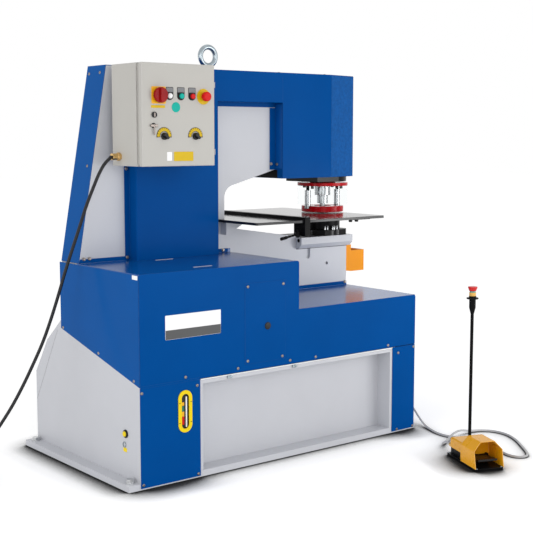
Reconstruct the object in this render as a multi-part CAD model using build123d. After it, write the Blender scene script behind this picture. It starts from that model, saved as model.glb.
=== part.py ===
from build123d import *
import math
import os

# Hydraulic punching machine. Millimetres, +Z up. The origin is the middle of the base's underside,
# +X runs along the long side towards the open throat, and the operator stands on the -Y side.

# How near an edge lies to a plane to count as on it
TOUCH = 0.01

# Base plate
BASE_LENGTH = 1610
BASE_DEPTH = 890
BASE_THICK = 26
ANCHOR_INSET_X = 30
ANCHOR_INSET_Y = 40
ANCHOR_WASHER_DIAMETER = 37
ANCHOR_WASHER_THICK = 3
ANCHOR_FLATS = 30
ANCHOR_HEAD = 13

# Sheet metal body
SHEET = 3
BODY_LEFT_INSET = 55
BODY_RIGHT_INSET = 7
FRONT_DROP = 20
SEAM_Z = 412
SEAM_GAP = 3
HIGH_TOP_Z = 865
LOW_TOP_Z = 652
STEP_OFFSET = 43
CORNER_RADIUS = 12
SKIRT_HEIGHT = 18
FRONT_LEFT_WIDTH = 290
RIGHT_POST_WIDTH = 148
RECESS_FLANGE = 15
RECESS_LAP = 20
RECESS_DEPTH = 85
RECESS_TOP_Z = 392
REAR_WALL_Z = 342
REAR_INSET = 10
REAR_BEND_Y = 405
REAR_BEND_Z = 383
REAR_SHOULDER_Y = 322
REAR_SHOULDER_Z = 501
REAR_TOP_Z = 607
REAR_FLANGE = 33
VENT_COUNT = 6
VENT_LENGTH = 160
VENT_OFFSET = 240
VENT_HEIGHT = 8
VENT_PITCH = 24
VENT_FIRST_Z = 140

# Oil level gauge in the left cover
GAUGE_INSET = 213
GAUGE_LOW_Z = 203
GAUGE_HIGH_Z = 378
GAUGE_WIDTH = 67
GAUGE_RIM = 11
GAUGE_PROUD = 4
GAUGE_DEPTH = 18
GAUGE_WALL = 2
GAUGE_FIT = 0.5

# Welded C-frame: two plates with webs between them
FRAME_FRONT_Y = 40
FRAME_WIDTH = 150
PLATE_THICK = 35
WEB_THICK = 24
FRAME_INSET = 11
FRAME_LEAN = 147
FRAME_TOP_Z = 1700
HEAD_SETBACK = 60
HEAD_UNDER_Z = 1244
THROAT_SLOPE_LENGTH = 303
THROAT_DEPTH = 673
THROAT_TOP_Z = 1163
THROAT_LOW_Z = 982
THROAT_TOP_RADIUS = 60
THROAT_LOW_RADIUS = 40
ARM_SLOPE_SETBACK = 236
ARM_SLOPE_Z = 915
ARM_TOP_Z = 855
ARM_END_INSET = 1
ARM_CLEAR = 3
FOOT_GAP = 5
GUSSET_SETBACK = 22
GUSSET_LENGTH = 94
GUSSET_HEIGHT = 48
GUSSET_DEPTH = 45
ARM_NOTCH_SETBACK = 160
ARM_NOTCH_WIDTH = 30
ARM_NOTCH_DEPTH = 55
ARM_NOTCH_INTO = 12
ARM_HOLE_SETBACK = 35
ARM_HOLE_Z = 770
ARM_HOLE_DIAMETER = 16
SLUG_WINDOW_LOW_Z = 778

# Covers of the column and head
COVER = 2.5
COVER_FRONT_Y = -18
COVER_BEND = 5
COLUMN_WIDTH = 440
COLUMN_SETBACK = 74
ARM_COVER_HEIGHT = 142
COVER_FLANGE = 25
ARM_COVER_FLANGE = 20
HEAD_BEVEL_SETBACK = 64
HEAD_NOSE = 122
HEAD_BEVEL = 40
HEAD_FLANGE = 34
EDGE_COVER = 3

# Lifting eye
EYE_SETBACK = 35
EYE_OUTER = 108
EYE_BAR = 24
EYE_COLLAR_DIAMETER = 56
EYE_COLLAR = 14
EYE_RISE = 121

# Hydraulic cylinder, ram and tooling on the punch axis
AXIS_INSET = 97
BARREL_DIAMETER = 216
BARREL_BORE = 150
BARREL_DROP = 140
BARREL_CAP = 30
BARREL_CLEAR = 0.1
FLANGE_TOP_Z = 1202
FLANGE_THICK = 24
FLANGE_WIDTH = 240
FLANGE_TAIL = 139
RIM_EDGE = 1.5
ROD_DIAMETER = 76
RUNNING_FIT = 0.05
PISTON_HEIGHT = 60
PISTON_STOP = 58
ROD_END_Z = 1154
STROKE = 40
NUT_DIAMETER = 79
NUT_HEIGHT = 46
NUT_NOTCH = 8
PUNCH_DIAMETER = 28
PUNCH_BODY = 54
PUNCH_BODY_END_Z = 1066
PUNCH_SHOULDER = 62
PUNCH_SHOULDER_HEIGHT = 14
PUNCH_TIP_Z = 1036
STRIPPER_PLATE_DIAMETER = 254
STRIPPER_PLATE_THICK = 16
STRIPPER_HUB = 6
STRIPPER_HUB_DIAMETER = 130
ROD_CLEAR = 2
GUIDE_OFFSET = 98
GUIDE_DIAMETER = 16
GUIDE_FIT = 0.05
GUIDE_END_Z = 1080
SLEEVE_DIAMETER = 30
SLEEVE_TOP_Z = 1134
SLEEVE_FLOOR = 4
RING_DIAMETER = 212
RING_LOW_Z = 1026
RING_HEIGHT = 29
RING_HOLE = 58
RING_WELL = 90
RING_WELL_FLOOR = 12
RING_SEAT_WIDTH = 44
RING_SEAT_LENGTH = 28
RING_SEAT_DEPTH = 13
GUARD_INSET = 1
GUARD_WALL = 3
GUARD_LOW_Z = 1060

# Bolster, die and table
BOLSTER_FRONT_Y = 0
BOLSTER_WIDTH = 230
BOLSTER_LENGTH = 339
BOLSTER_TOP_Z = 910
BOLSTER_BEVEL = 21
SLUG_HOLE = 60
HOLDER_SIZE = 200
HOLDER_HEIGHT = 28
HOLDER_CORNER = 30
HOLDER_COLLAR_DIAMETER = 176
DIE_DIAMETER = 90
DIE_FIT = 0.05
DIE_CLEAR = 0.5
DIE_RELIEF = 40
DIE_LAND = 20
TABLE_TOP_Z = 1022
TABLE_THICK = 12
TABLE_LAP = 52
TABLE_REACH = 60
TABLE_CORNER = 8
TABLE_EDGE = 1
TABLE_FRONT_Y = -270
TABLE_WIDTH = 770
TABLE_GAP = 3
TABLE_HOLE_GAP = 2
FENCE_OFFSET = 225
FENCE_WIDTH = 25
FENCE_HEIGHT = 12
FENCE_FRONT_Y = -254
FENCE_LENGTH = 700
FENCE_LIP = 10
CLAMP_WIDTH = 30
CLAMP_REACH = 70
CLAMP_DROP = 74
SLIDE_GAP = 0.3
LEVER_RISE = 20
LEVER_HUB_DIAMETER = 22
LEVER_HUB_HEIGHT = 22
LEVER_PIN_DIAMETER = 8
LEVER_PIN_FIT = 0.05
LEVER_PIN_HEAD = 13
LEVER_PIN_HEAD_HEIGHT = 4
LEVER_LUG_THICK = 8
LEVER_LUG_WIDTH = 20
LEVER_LENGTH = 100
LEVER_ROD = 10
LEVER_GRIP = 15
LEVER_GRIP_LENGTH = 34
LEVER_DROP_DEGREES = 10
CHUTE_NECK = 57
CHUTE_BOX = 90
CHUTE_WIDTH = 100
CHUTE_LOW_Z = 712
CHUTE_TOP_Z = 850
CHUTE_BOX_TOP_Z = 820
CHUTE_NECK_RISE = 8
CHUTE_WALL = 3

# Inside: tank, motor, pump and the pipe to the cylinder
TANK_CLEAR = 7
TANK_LENGTH = 270
TANK_FRONT_GAP = 20
TANK_BACK_GAP = 10
TANK_HEIGHT = 374
TANK_WALL = 5
PUMP_PORT = 90
MOTOR_Y = -150
MOTOR_LENGTH = 340
MOTOR_DIAMETER = 200
MOTOR_AXIS_RISE = 120
MOTOR_FOOT_WIDTH = 170
MOTOR_FOOT_HEIGHT = 40
MOTOR_FOOT_LENGTH = 220
MOTOR_BOX = 90
BELL_DIAMETER = 160
BELL_LENGTH = 60
PUMP_DIAMETER = 110
PUMP_LENGTH = 90
SUCTION_DIAMETER = 34
PIPE_DIAMETER = 22
PIPE_INSET = 43
PIPE_BEHIND = 30
PIPE_RISE_Z = 420
PIPE_BACK_Z = 560
PIPE_DROP = 70
PIPE_END_SETBACK = 10
PIPE_END_SIDE = 55
PIPE_BEND = 60
PIPE_ELBOW = 22
PIPE_HOLE = 30

# Control cabinet on the column
CABINET_OVERHANG = 113
CABINET_WIDTH = 363
CABINET_BEND = 3
CABINET_HEIGHT = 422
CABINET_DEPTH = 188
CABINET_WALL = 2
RIM_INSET = 8
DOOR_DEPTH = 22
DOOR_GAP = 0.3
DOOR_FRONT_Y = -250
HINGE_INSET = 70
HINGE_HALF = 24
HINGE_KNUCKLE = 9
HINGE_OFFSET = 5
HINGE_LEAF = 3
HINGE_LEAF_REACH = 30
HINGE_PIN = 5
HINGE_FIT = 0.05
HINGE_GAP = 0.4
STEM_DIAMETER = 10
STEM_FIT = 0.1
STEM_REACH = 12
KNOB_GAP = 0.3
SWITCH_INSET = 81
SWITCH_RISE = 291
SWITCH_NECK = 30
SWITCH_NECK_REACH = 12
SWITCH_DIAMETER = 64
SWITCH_THICK = 12
KNOB_ROUND = 2
SWITCH_GRIP_WIDTH = 16
SWITCH_GRIP_HEIGHT = 10
BUTTON_RISE = 289
START_INSET = 191
STOP_INSET = 247
BUTTON_DIAMETER = 22
BUTTON_TRAVEL = 4
BUTTON_CAP = 8
ESTOP_INSET = 305
ESTOP_DIAMETER = 40
ESTOP_CAP = 18
ESTOP_ROUND = 6
ESTOP_STEM = 22
ESTOP_REACH = 35
SELECTOR_INSETS = (106, 263)
SELECTOR_RISE = 124
SELECTOR_DIAMETER = 30
SELECTOR_BASE = 9
SELECTOR_GRIP_WIDTH = 10
SELECTOR_GRIP_HEIGHT = 14
SELECTOR_REST_DEGREES = -35
LOCK_INSET = 58
LOCK_RISE = 211
LOCK_DIAMETER = 24
LOCK_PROUD = 6
LOCK_SLOT = 3
LOCK_SLOT_LENGTH = 16
LOCK_TONGUE_LENGTH = 34
LOCK_TONGUE_WIDTH = 14
LOCK_TONGUE_THICK = 3

# Cable glands
GLAND_HEX = 30
GLAND_HEX_LENGTH = 14
GLAND_DOME = 28
GLAND_LENGTH = 40
MAINS_GLAND_Y = -75
MAINS_GLAND_RISE = 39
SMALL_GLAND_DIAMETER = 20
SMALL_GLAND_LENGTH = 18
BODY_GLAND_Y = -330
BODY_GLAND_Z = 120

# Foot pedal with its emergency stop mast, standing beside the machine
PEDAL_OFFSET_X = -279.5
PEDAL_Y = -1142
PEDAL_TURN_DEGREES = -22
PEDAL_WIDTH = 134
PEDAL_LENGTH = 275
PEDAL_BASE = 12
PEDAL_BODY_WIDTH = 104
PEDAL_CORNER = 10
PEDAL_BODY_END = 262
PEDAL_BODY_TOP = 40
HOOD_LENGTH = 137
HOOD_SIDE_Z = 85
HOOD_TOP_Z = 122
HOOD_TOP_WIDTH = 66
HOOD_WALL = 3
HOOD_LEAN = 24
HOOD_BEND = 4
HOUSING_WIDTH = 110
HOUSING_TOP_Z = 85
HOUSING_SKIRT = 28
HOUSING_EDGE = 6
TREADLE_WIDTH = 88
TREADLE_LENGTH = 104
TREADLE_THICK = 8
TREADLE_PIN_Y = 122
TREADLE_PIN_Z = 32
TREADLE_PIN_DIAMETER = 8
TREADLE_PIN_FIT = 0.05
TREADLE_RISE = 10
TREADLE_HUB = 16
EAR_WIDTH = 8
EAR_DEPTH = 20
EAR_GAP = 0.5
PEDAL_GLAND_X = -45
PEDAL_GLAND_Z = 46
MAST_X = -20
MAST_Y = 150
MAST_DIAMETER = 14
MAST_TOP_Z = 648
GRIP_DIAMETER = 28
GRIP_TAPER = 28
GRIP_LENGTH = 65
GRIP_FLANGE_DIAMETER = 51
GRIP_FLANGE = 6
GRIP_BOSS_DIAMETER = 31
GRIP_BOSS = 7
COLLAR_DIAMETER = 29
COLLAR_HEIGHT = 16
COLLAR_FLOOR = 4
COLLAR_FIT = 0.1
MUSHROOM_DIAMETER = 40
MUSHROOM_NECK = 29
MUSHROOM_HEIGHT = 19
MUSHROOM_RIM = 5
MUSHROOM_GAP = 5.5
MUSHROOM_STEM = 25
MUSHROOM_STEM_LENGTH = 12

# Cables. The points are chosen by hand, each bend as round as its runs allow.
MAINS_DIAMETER = 14
MAINS_POINTS = [
    (-640, -75, 1317),
    (-667, -72, 1297),
    (-695, -66, 1252),
    (-719, -56, 1190),
    (-746, -44, 1118),
    (-771, -30, 1030),
    (-800, -15, 935),
    (-829, 0, 838),
    (-854, 14, 742),
    (-881, 30, 645),
    (-912, 45, 550),
    (-950, 60, 462),
    (-993, 73, 372),
    (-1041, 86, 284),
    (-1097, 99, 202),
    (-1152, 110, 126),
    (-1204, 120, 66),
    (-1262, 128, 25),
    (-1324, 135, 7),
    (-1362, 134, 7),
]
PEDAL_CABLE_DIAMETER = 10
PEDAL_CABLE_POINTS = [
    (0, -330, 120),
    (26, -330, 120),
    (48, -340, 108),
    (58, -364, 82),
    (56, -398, 50),
    (46, -438, 24),
    (29, -487, 8),
    (8, -540, 5),
    (-13, -600, 5),
    (-17, -658, 5),
    (1, -715, 5),
    (22, -782, 5),
    (22, -852, 5),
    (2, -925, 5),
    (-24, -995, 5),
    (-42, -1050, 5),
    (-34, -1096, 5),
    (8, -1112, 5),
    (58, -1072, 5),
    (124, -988, 5),
    (190, -902, 5),
    (232, -814, 5),
    (228, -738, 5),
    (186, -690, 5),
    (124, -676, 9),
    (56, -682, 26),
    (-16, -700, 26),
    (-81, -722, 9),
    (-133, -747, 9),
    (-168, -775, 22),
    (-192, -808, 38),
]
PEDAL_CABLE_LEAD = 26
COIL_TURN_RADIUS = 84
COIL_TURNS_A_LAYER = 1.5
COIL_STEP = 14.7
COIL_TAIL = 28
PLUG_DIAMETER = 43
PLUG_LENGTH = 118
PLUG_NECK = 24
PLUG_NECK_LENGTH = 30
PLUG_COLLAR_LENGTH = 48
PLUG_COLLAR_WALL = 4
PLUG_PIN = 5
PLUG_PIN_LENGTH = 30
PLUG_PIN_CIRCLE = 20

# Places worked out from the sizes above
BASE_RIGHT = BASE_LENGTH / 2
BASE_LEFT = -BASE_RIGHT
BASE_BACK = BASE_DEPTH / 2
FRONT_Y = -BASE_BACK
BODY_LEFT = BASE_LEFT + BODY_LEFT_INSET
BODY_RIGHT = BASE_RIGHT - BODY_RIGHT_INSET
FRONT_LOW_Z = BASE_THICK - FRONT_DROP
PANEL_LOW_Z = SEAM_Z + SEAM_GAP
RECESS_LEFT = BODY_LEFT + FRONT_LEFT_WIDTH
RECESS_RIGHT = BODY_RIGHT - RIGHT_POST_WIDTH
REAR_Y = BASE_BACK - REAR_INSET
GAUGE_X = BODY_LEFT + GAUGE_INSET
FRAME_BACK_Y = FRAME_FRONT_Y + FRAME_WIDTH
FRAME_LEFT_X = BODY_LEFT + FRAME_INSET
FRAME_TOP_LEFT_X = FRAME_LEFT_X + FRAME_LEAN
ARM_END_X = BODY_RIGHT - ARM_END_INSET
ARM_UNDER_Z = LOW_TOP_Z + ARM_CLEAR
FOOT_END_X = BODY_RIGHT - SHEET - FOOT_GAP
AXIS_X = ARM_END_X - AXIS_INSET
AXIS_Y = FRAME_FRONT_Y + FRAME_WIDTH / 2
HEAD_END_X = AXIS_X - HEAD_SETBACK
THROAT_BACK_X = AXIS_X - THROAT_DEPTH
THROAT_SLOPE_X = THROAT_BACK_X + THROAT_SLOPE_LENGTH
ARM_SLOPE_X = AXIS_X - ARM_SLOPE_SETBACK
ARM_NOTCH_X = AXIS_X - ARM_NOTCH_SETBACK
ARM_HOLE_X = AXIS_X - ARM_HOLE_SETBACK
GUSSET_X = THROAT_BACK_X - GUSSET_SETBACK
STEP_X = THROAT_BACK_X + STEP_OFFSET
COLUMN_RIGHT_X = THROAT_BACK_X - COLUMN_SETBACK
COLUMN_LEFT_X = COLUMN_RIGHT_X - COLUMN_WIDTH
ARM_COVER_Z = FRAME_TOP_Z - ARM_COVER_HEIGHT
HEAD_LEFT_X = THROAT_SLOPE_X
HEAD_BEVEL_X = AXIS_X - HEAD_BEVEL_SETBACK
HEAD_NOSE_X = AXIS_X + HEAD_NOSE
EYE_X = THROAT_BACK_X - EYE_SETBACK
EYE_TOP_Z = FRAME_TOP_Z + EYE_RISE
BARREL_TOP_Z = FRAME_TOP_Z - BARREL_DROP
BARREL_LEFT_X = AXIS_X - BARREL_DIAMETER / 2 - BARREL_CLEAR
BOLSTER_X = ARM_SLOPE_X
TABLE_LEFT_X = THROAT_BACK_X - TABLE_LAP
TABLE_RIGHT_X = AXIS_X + TABLE_REACH
FENCE_X = THROAT_BACK_X + FENCE_OFFSET
CLAMP_X = FENCE_X + FENCE_WIDTH - CLAMP_WIDTH
LIP_BACK_Y = TABLE_FRONT_Y - SLIDE_GAP
LIP_FRONT_Y = LIP_BACK_Y - FENCE_LIP
CLAMP_BACK_Y = LIP_BACK_Y + CLAMP_REACH
CLAMP_LOW_Z = TABLE_TOP_Z - CLAMP_DROP
LEVER_X = CLAMP_X - LEVER_HUB_DIAMETER / 2 - SLIDE_GAP
LEVER_Y = (LIP_FRONT_Y + CLAMP_BACK_Y) / 2
LUG_LOW_Z = CLAMP_LOW_Z + LEVER_RISE
LEVER_TOP_Z = LUG_LOW_Z - SLIDE_GAP
LEVER_LOW_Z = LEVER_TOP_Z - LEVER_HUB_HEIGHT
PIPE_X = COLUMN_RIGHT_X - PIPE_INSET
PIPE_Y = COVER_FRONT_Y + PIPE_BEHIND
PIPE_TOP_Z = FRAME_TOP_Z - PIPE_DROP
PIPE_END_X = AXIS_X - PIPE_END_SETBACK
PIPE_END_Y = AXIS_Y - PIPE_END_SIDE
MOTOR_X = PIPE_X + PUMP_PORT
FLANGE_LOW_Z = FLANGE_TOP_Z - FLANGE_THICK
STRIPPER_TOP_Z = FLANGE_LOW_Z - STRIPPER_HUB
STRIPPER_LOW_Z = STRIPPER_TOP_Z - STRIPPER_PLATE_THICK
PISTON_LOW_Z = FLANGE_TOP_Z + PISTON_STOP + STROKE
RING_TOP_Z = RING_LOW_Z + RING_HEIGHT
SLEEVE_LOW_Z = RING_TOP_Z - RING_SEAT_DEPTH
NUT_LOW_Z = ROD_END_Z - NUT_HEIGHT
TABLE_LOW_Z = TABLE_TOP_Z - TABLE_THICK
HOLDER_TOP_Z = BOLSTER_TOP_Z + HOLDER_HEIGHT
HEAD_FRONT_Y = COVER_FRONT_Y
HEAD_BACK_Y = 2 * AXIS_Y - COVER_FRONT_Y
CABINET_LEFT_X = COLUMN_LEFT_X - CABINET_OVERHANG
CABINET_RIGHT_X = CABINET_LEFT_X + CABINET_WIDTH
CABINET_TOP_Z = FRAME_TOP_Z
CABINET_LOW_Z = CABINET_TOP_Z - CABINET_HEIGHT
SWITCH_X = CABINET_LEFT_X + SWITCH_INSET
SWITCH_Z = CABINET_LOW_Z + SWITCH_RISE
BUTTON_Z = CABINET_LOW_Z + BUTTON_RISE
START_X = CABINET_LEFT_X + START_INSET
STOP_X = CABINET_LEFT_X + STOP_INSET
ESTOP_X = CABINET_LEFT_X + ESTOP_INSET
SELECTOR_X = [CABINET_LEFT_X + inset for inset in SELECTOR_INSETS]
SELECTOR_Z = CABINET_LOW_Z + SELECTOR_RISE
LOCK_X = CABINET_LEFT_X + LOCK_INSET
LOCK_Z = CABINET_LOW_Z + LOCK_RISE
MAINS_GLAND_Z = CABINET_LOW_Z + MAINS_GLAND_RISE
CABINET_BACK_Y = COVER_FRONT_Y
CABINET_FRONT_Y = CABINET_BACK_Y - CABINET_DEPTH
DOOR_BACK_Y = DOOR_FRONT_Y + DOOR_DEPTH
HINGE_X = CABINET_RIGHT_X + HINGE_OFFSET
HINGE_Y = DOOR_BACK_Y
HINGE_HEIGHTS = (CABINET_LOW_Z + HINGE_INSET, CABINET_TOP_Z - HINGE_INSET)
MOTOR_Z = BASE_THICK + MOTOR_AXIS_RISE
BODY_GLAND_END_X = BODY_RIGHT + SMALL_GLAND_LENGTH
PEDAL_X = BODY_GLAND_END_X + PEDAL_OFFSET_X
PEDAL_BODY_START = HOOD_LENGTH + HOUSING_SKIRT
MAST_COLLAR_Z = MAST_TOP_Z + GRIP_LENGTH + GRIP_FLANGE + GRIP_BOSS
GUIDE_PLACES = [(AXIS_X - GUIDE_OFFSET, AXIS_Y), (AXIS_X + GUIDE_OFFSET, AXIS_Y)]
PEDAL_PLACE = Pos(PEDAL_X, PEDAL_Y, 0) * Rot(0, 0, PEDAL_TURN_DEGREES)


def block(x0, x1, y0, y1, z0, z1):
    return Pos((x0 + x1) / 2, (y0 + y1) / 2, (z0 + z1) / 2) * Box(x1 - x0, y1 - y0, z1 - z0)


def rod_x(y, z, x0, x1, diameter):
    return Pos((x0 + x1) / 2, y, z) * Rot(0, 90, 0) * Cylinder(diameter / 2, x1 - x0)


def rod_y(x, z, y0, y1, diameter):
    return Pos(x, (y0 + y1) / 2, z) * Rot(90, 0, 0) * Cylinder(diameter / 2, y1 - y0)


def rod_z(x, y, z0, z1, diameter):
    return Pos(x, y, (z0 + z1) / 2) * Cylinder(diameter / 2, z1 - z0)


def prism_xz(points, y0, y1):
    outline = Polyline(*[(x, y0, z) for x, z in points], close=True)
    return extrude(make_face(outline), amount=y1 - y0, dir=(0, 1, 0))


def prism_yz(points, x0, x1):
    outline = Polyline(*[(x0, y, z) for y, z in points], close=True)
    return extrude(make_face(outline), amount=x1 - x0, dir=(1, 0, 0))


def prism_xy(points, z0, z1):
    outline = Polyline(*[(x, y, z0) for x, y in points], close=True)
    return extrude(make_face(outline), amount=z1 - z0, dir=(0, 0, 1))


def thick_path(points, thickness):
    # closes an open path into a sheet's section, with mitred bends, on the path's left side
    shifted = []
    for i, point in enumerate(points):
        before = points[max(i - 1, 0)]
        after = points[min(i + 1, len(points) - 1)]
        normals = []
        for a, b in ((before, point), (point, after)):
            length = math.dist(a, b)
            if length > 0:
                normals.append(((a[1] - b[1]) / length, (b[0] - a[0]) / length))
        nx = sum(n[0] for n in normals) / len(normals)
        ny = sum(n[1] for n in normals) / len(normals)
        reach = thickness / (nx * nx + ny * ny)
        shifted.append((point[0] + nx * reach, point[1] + ny * reach))
    return list(points) + shifted[::-1]


def hexagon_prism(flats, height):
    return extrude(RegularPolygon(flats / 2, 6, major_radius=False), amount=height)


def upper_part(solid, z):
    return solid.edges().filter_by_position(Axis.Z, z - TOUCH, z + TOUCH)


def front_part(solid, y):
    return solid.edges().filter_by_position(Axis.Y, y - TOUCH, y + TOUCH)


def disc_z(x, y, z0, z1, diameter):
    disc = rod_z(x, y, z0, z1, diameter)
    return chamfer(upper_part(disc, z0) + upper_part(disc, z1), RIM_EDGE)


def knob_y(x, z, y0, y1, diameter, round_off):
    knob = rod_y(x, z, y0, y1, diameter)
    return fillet(front_part(knob, y0), round_off)


def base_plate():
    return block(BASE_LEFT, BASE_RIGHT, FRONT_Y, BASE_BACK, 0, BASE_THICK)


def anchor_bolts():
    bolt = rod_z(0, 0, BASE_THICK, BASE_THICK + ANCHOR_WASHER_THICK, ANCHOR_WASHER_DIAMETER)
    bolt += Pos(0, 0, BASE_THICK + ANCHOR_WASHER_THICK) * hexagon_prism(ANCHOR_FLATS, ANCHOR_HEAD)
    x = BASE_RIGHT - ANCHOR_INSET_X
    y = BASE_BACK - ANCHOR_INSET_Y
    return [Pos(sx * x, sy * y, 0) * bolt for sx in (-1, 1) for sy in (-1, 1)]


def recess_liner():
    back = FRONT_Y + RECESS_DEPTH
    left = RECESS_LEFT + RECESS_FLANGE
    right = RECESS_RIGHT - RECESS_FLANGE
    tray = block(left, right, back - SHEET, back, BASE_THICK, SEAM_Z)
    tray += block(left - SHEET, left, FRONT_Y, back, BASE_THICK, SEAM_Z)
    tray += block(right, right + SHEET, FRONT_Y, back, BASE_THICK, SEAM_Z)
    tray += block(left - SHEET, right + SHEET, FRONT_Y, back, RECESS_TOP_Z, RECESS_TOP_Z + SHEET)
    tray += block(left, right, FRONT_Y, FRONT_Y + SHEET, RECESS_TOP_Z, SEAM_Z)
    tray += block(RECESS_LEFT - RECESS_LAP, left, FRONT_Y, FRONT_Y + SHEET, BASE_THICK, SEAM_Z)
    tray += block(right, RECESS_RIGHT + RECESS_LAP, FRONT_Y, FRONT_Y + SHEET, BASE_THICK, SEAM_Z)
    return tray


def front_panel():
    outline = FilletPolyline(
        (BODY_LEFT, FRONT_Y, PANEL_LOW_Z),
        (BODY_LEFT, FRONT_Y, HIGH_TOP_Z),
        (STEP_X, FRONT_Y, HIGH_TOP_Z),
        (STEP_X, FRONT_Y, LOW_TOP_Z),
        (BODY_RIGHT, FRONT_Y, LOW_TOP_Z),
        (BODY_RIGHT, FRONT_Y, PANEL_LOW_Z),
        radius=[CORNER_RADIUS, CORNER_RADIUS, 0, CORNER_RADIUS],
        close=False,
    )
    low_edge = Line((BODY_RIGHT, FRONT_Y, PANEL_LOW_Z), (BODY_LEFT, FRONT_Y, PANEL_LOW_Z))
    return extrude(make_face([outline, low_edge]), amount=SHEET, dir=(0, -1, 0))


def stadium_y(x, low_z, high_z, width, y0, y1):
    body = block(x - width / 2, x + width / 2, y0, y1, low_z + width / 2, high_z - width / 2)
    body += rod_y(x, low_z + width / 2, y0, y1, width)
    body += rod_y(x, high_z - width / 2, y0, y1, width)
    return body


def gauge_stadium(inset, y0, y1):
    return stadium_y(GAUGE_X, GAUGE_LOW_Z + inset, GAUGE_HIGH_Z - inset, GAUGE_WIDTH - 2 * inset, y0, y1)


def front_left_cover():
    cover = block(BODY_LEFT, RECESS_LEFT, FRONT_Y - SHEET, FRONT_Y, FRONT_LOW_Z, SEAM_Z)
    slot = gauge_stadium(GAUGE_RIM - GAUGE_WALL - GAUGE_FIT, FRONT_Y - 2 * SHEET, FRONT_Y + SHEET)
    return cover - slot


def right_post_cover():
    return block(RECESS_RIGHT, BODY_RIGHT, FRONT_Y - SHEET, FRONT_Y, FRONT_LOW_Z, SEAM_Z)


def sight_gauge():
    face = FRONT_Y - SHEET
    rim = gauge_stadium(0, face - GAUGE_PROUD, face)
    rim += gauge_stadium(GAUGE_RIM - GAUGE_WALL, face, face + GAUGE_DEPTH)
    return rim - gauge_stadium(GAUGE_RIM, face - 2 * GAUGE_PROUD, face + GAUGE_DEPTH - GAUGE_WALL)


def lower_outline():
    return [(REAR_Y, BASE_THICK), (REAR_Y, REAR_WALL_Z), (REAR_BEND_Y, REAR_BEND_Z),
            (REAR_SHOULDER_Y, REAR_SHOULDER_Z), (FRAME_BACK_Y, REAR_TOP_Z)]


def lower_side_left():
    points = [(FRONT_Y, PANEL_LOW_Z), (FRONT_Y, BASE_THICK)] + lower_outline()
    return prism_yz(points, BODY_LEFT, BODY_LEFT + SHEET)


def side_panel_left():
    points = [(FRONT_Y, PANEL_LOW_Z), (FRAME_BACK_Y, REAR_TOP_Z)]
    points += [(FRAME_BACK_Y, HIGH_TOP_Z - SHEET), (FRONT_Y, HIGH_TOP_Z - SHEET)]
    return prism_yz(points, BODY_LEFT, BODY_LEFT + SHEET)


def right_end_panel():
    points = [(FRONT_Y, BASE_THICK)] + lower_outline()
    points += [(FRAME_BACK_Y, LOW_TOP_Z - SHEET), (FRONT_Y, LOW_TOP_Z - SHEET)]
    return prism_yz(points, BODY_RIGHT - SHEET, BODY_RIGHT)


def rear_cover():
    path = lower_outline()[:-1]
    path += [(FRAME_BACK_Y + SHEET, REAR_TOP_Z - SHEET), (FRAME_BACK_Y + SHEET, REAR_TOP_Z + REAR_FLANGE)]
    cover = prism_yz(thick_path(path, SHEET), BODY_LEFT + SHEET, BODY_RIGHT - SHEET)
    middle = (BODY_LEFT + BODY_RIGHT) / 2
    for side in (-1, 1):
        for row in range(VENT_COUNT):
            x = middle + side * VENT_OFFSET
            z = VENT_FIRST_Z + row * VENT_PITCH
            cover -= block(x - VENT_LENGTH / 2, x + VENT_LENGTH / 2, REAR_Y - 2 * SHEET, REAR_Y + SHEET,
                           z, z + VENT_HEIGHT)
    return cover


def high_top_cover():
    outline = FilletPolyline(
        (BODY_LEFT, FRONT_Y, HIGH_TOP_Z - SHEET),
        (BODY_LEFT, FRONT_Y, HIGH_TOP_Z),
        (STEP_X, FRONT_Y, HIGH_TOP_Z),
        (STEP_X, FRONT_Y, LOW_TOP_Z - SHEET),
        radius=[0, CORNER_RADIUS],
        close=False,
    )
    inner = FilletPolyline(
        (STEP_X, FRONT_Y, LOW_TOP_Z - SHEET),
        (STEP_X - SHEET, FRONT_Y, LOW_TOP_Z - SHEET),
        (STEP_X - SHEET, FRONT_Y, HIGH_TOP_Z - SHEET),
        (BODY_LEFT, FRONT_Y, HIGH_TOP_Z - SHEET),
        radius=[0, CORNER_RADIUS - SHEET],
        close=False,
    )
    cover = extrude(make_face([outline, inner]), amount=FRAME_FRONT_Y - FRONT_Y, dir=(0, 1, 0))
    for x0, x1 in ((FRAME_LEFT_X, COLUMN_LEFT_X - COVER_FLANGE), (COLUMN_RIGHT_X, STEP_X - CORNER_RADIUS)):
        cover += block(x0, x1, FRAME_FRONT_Y - SHEET, FRAME_FRONT_Y, HIGH_TOP_Z - SHEET,
                       HIGH_TOP_Z + SKIRT_HEIGHT)
    cover -= rod_z(PIPE_X, PIPE_Y, HIGH_TOP_Z - 2 * SHEET, HIGH_TOP_Z + SHEET, PIPE_HOLE)
    return cover


def low_top_cover():
    cover = block(STEP_X, BODY_RIGHT, FRONT_Y, FRAME_FRONT_Y, LOW_TOP_Z - SHEET, LOW_TOP_Z)
    cover += block(STEP_X, BODY_RIGHT, FRAME_FRONT_Y - SHEET, FRAME_FRONT_Y, LOW_TOP_Z - SHEET,
                   LOW_TOP_Z + SKIRT_HEIGHT)
    return cover


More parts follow.
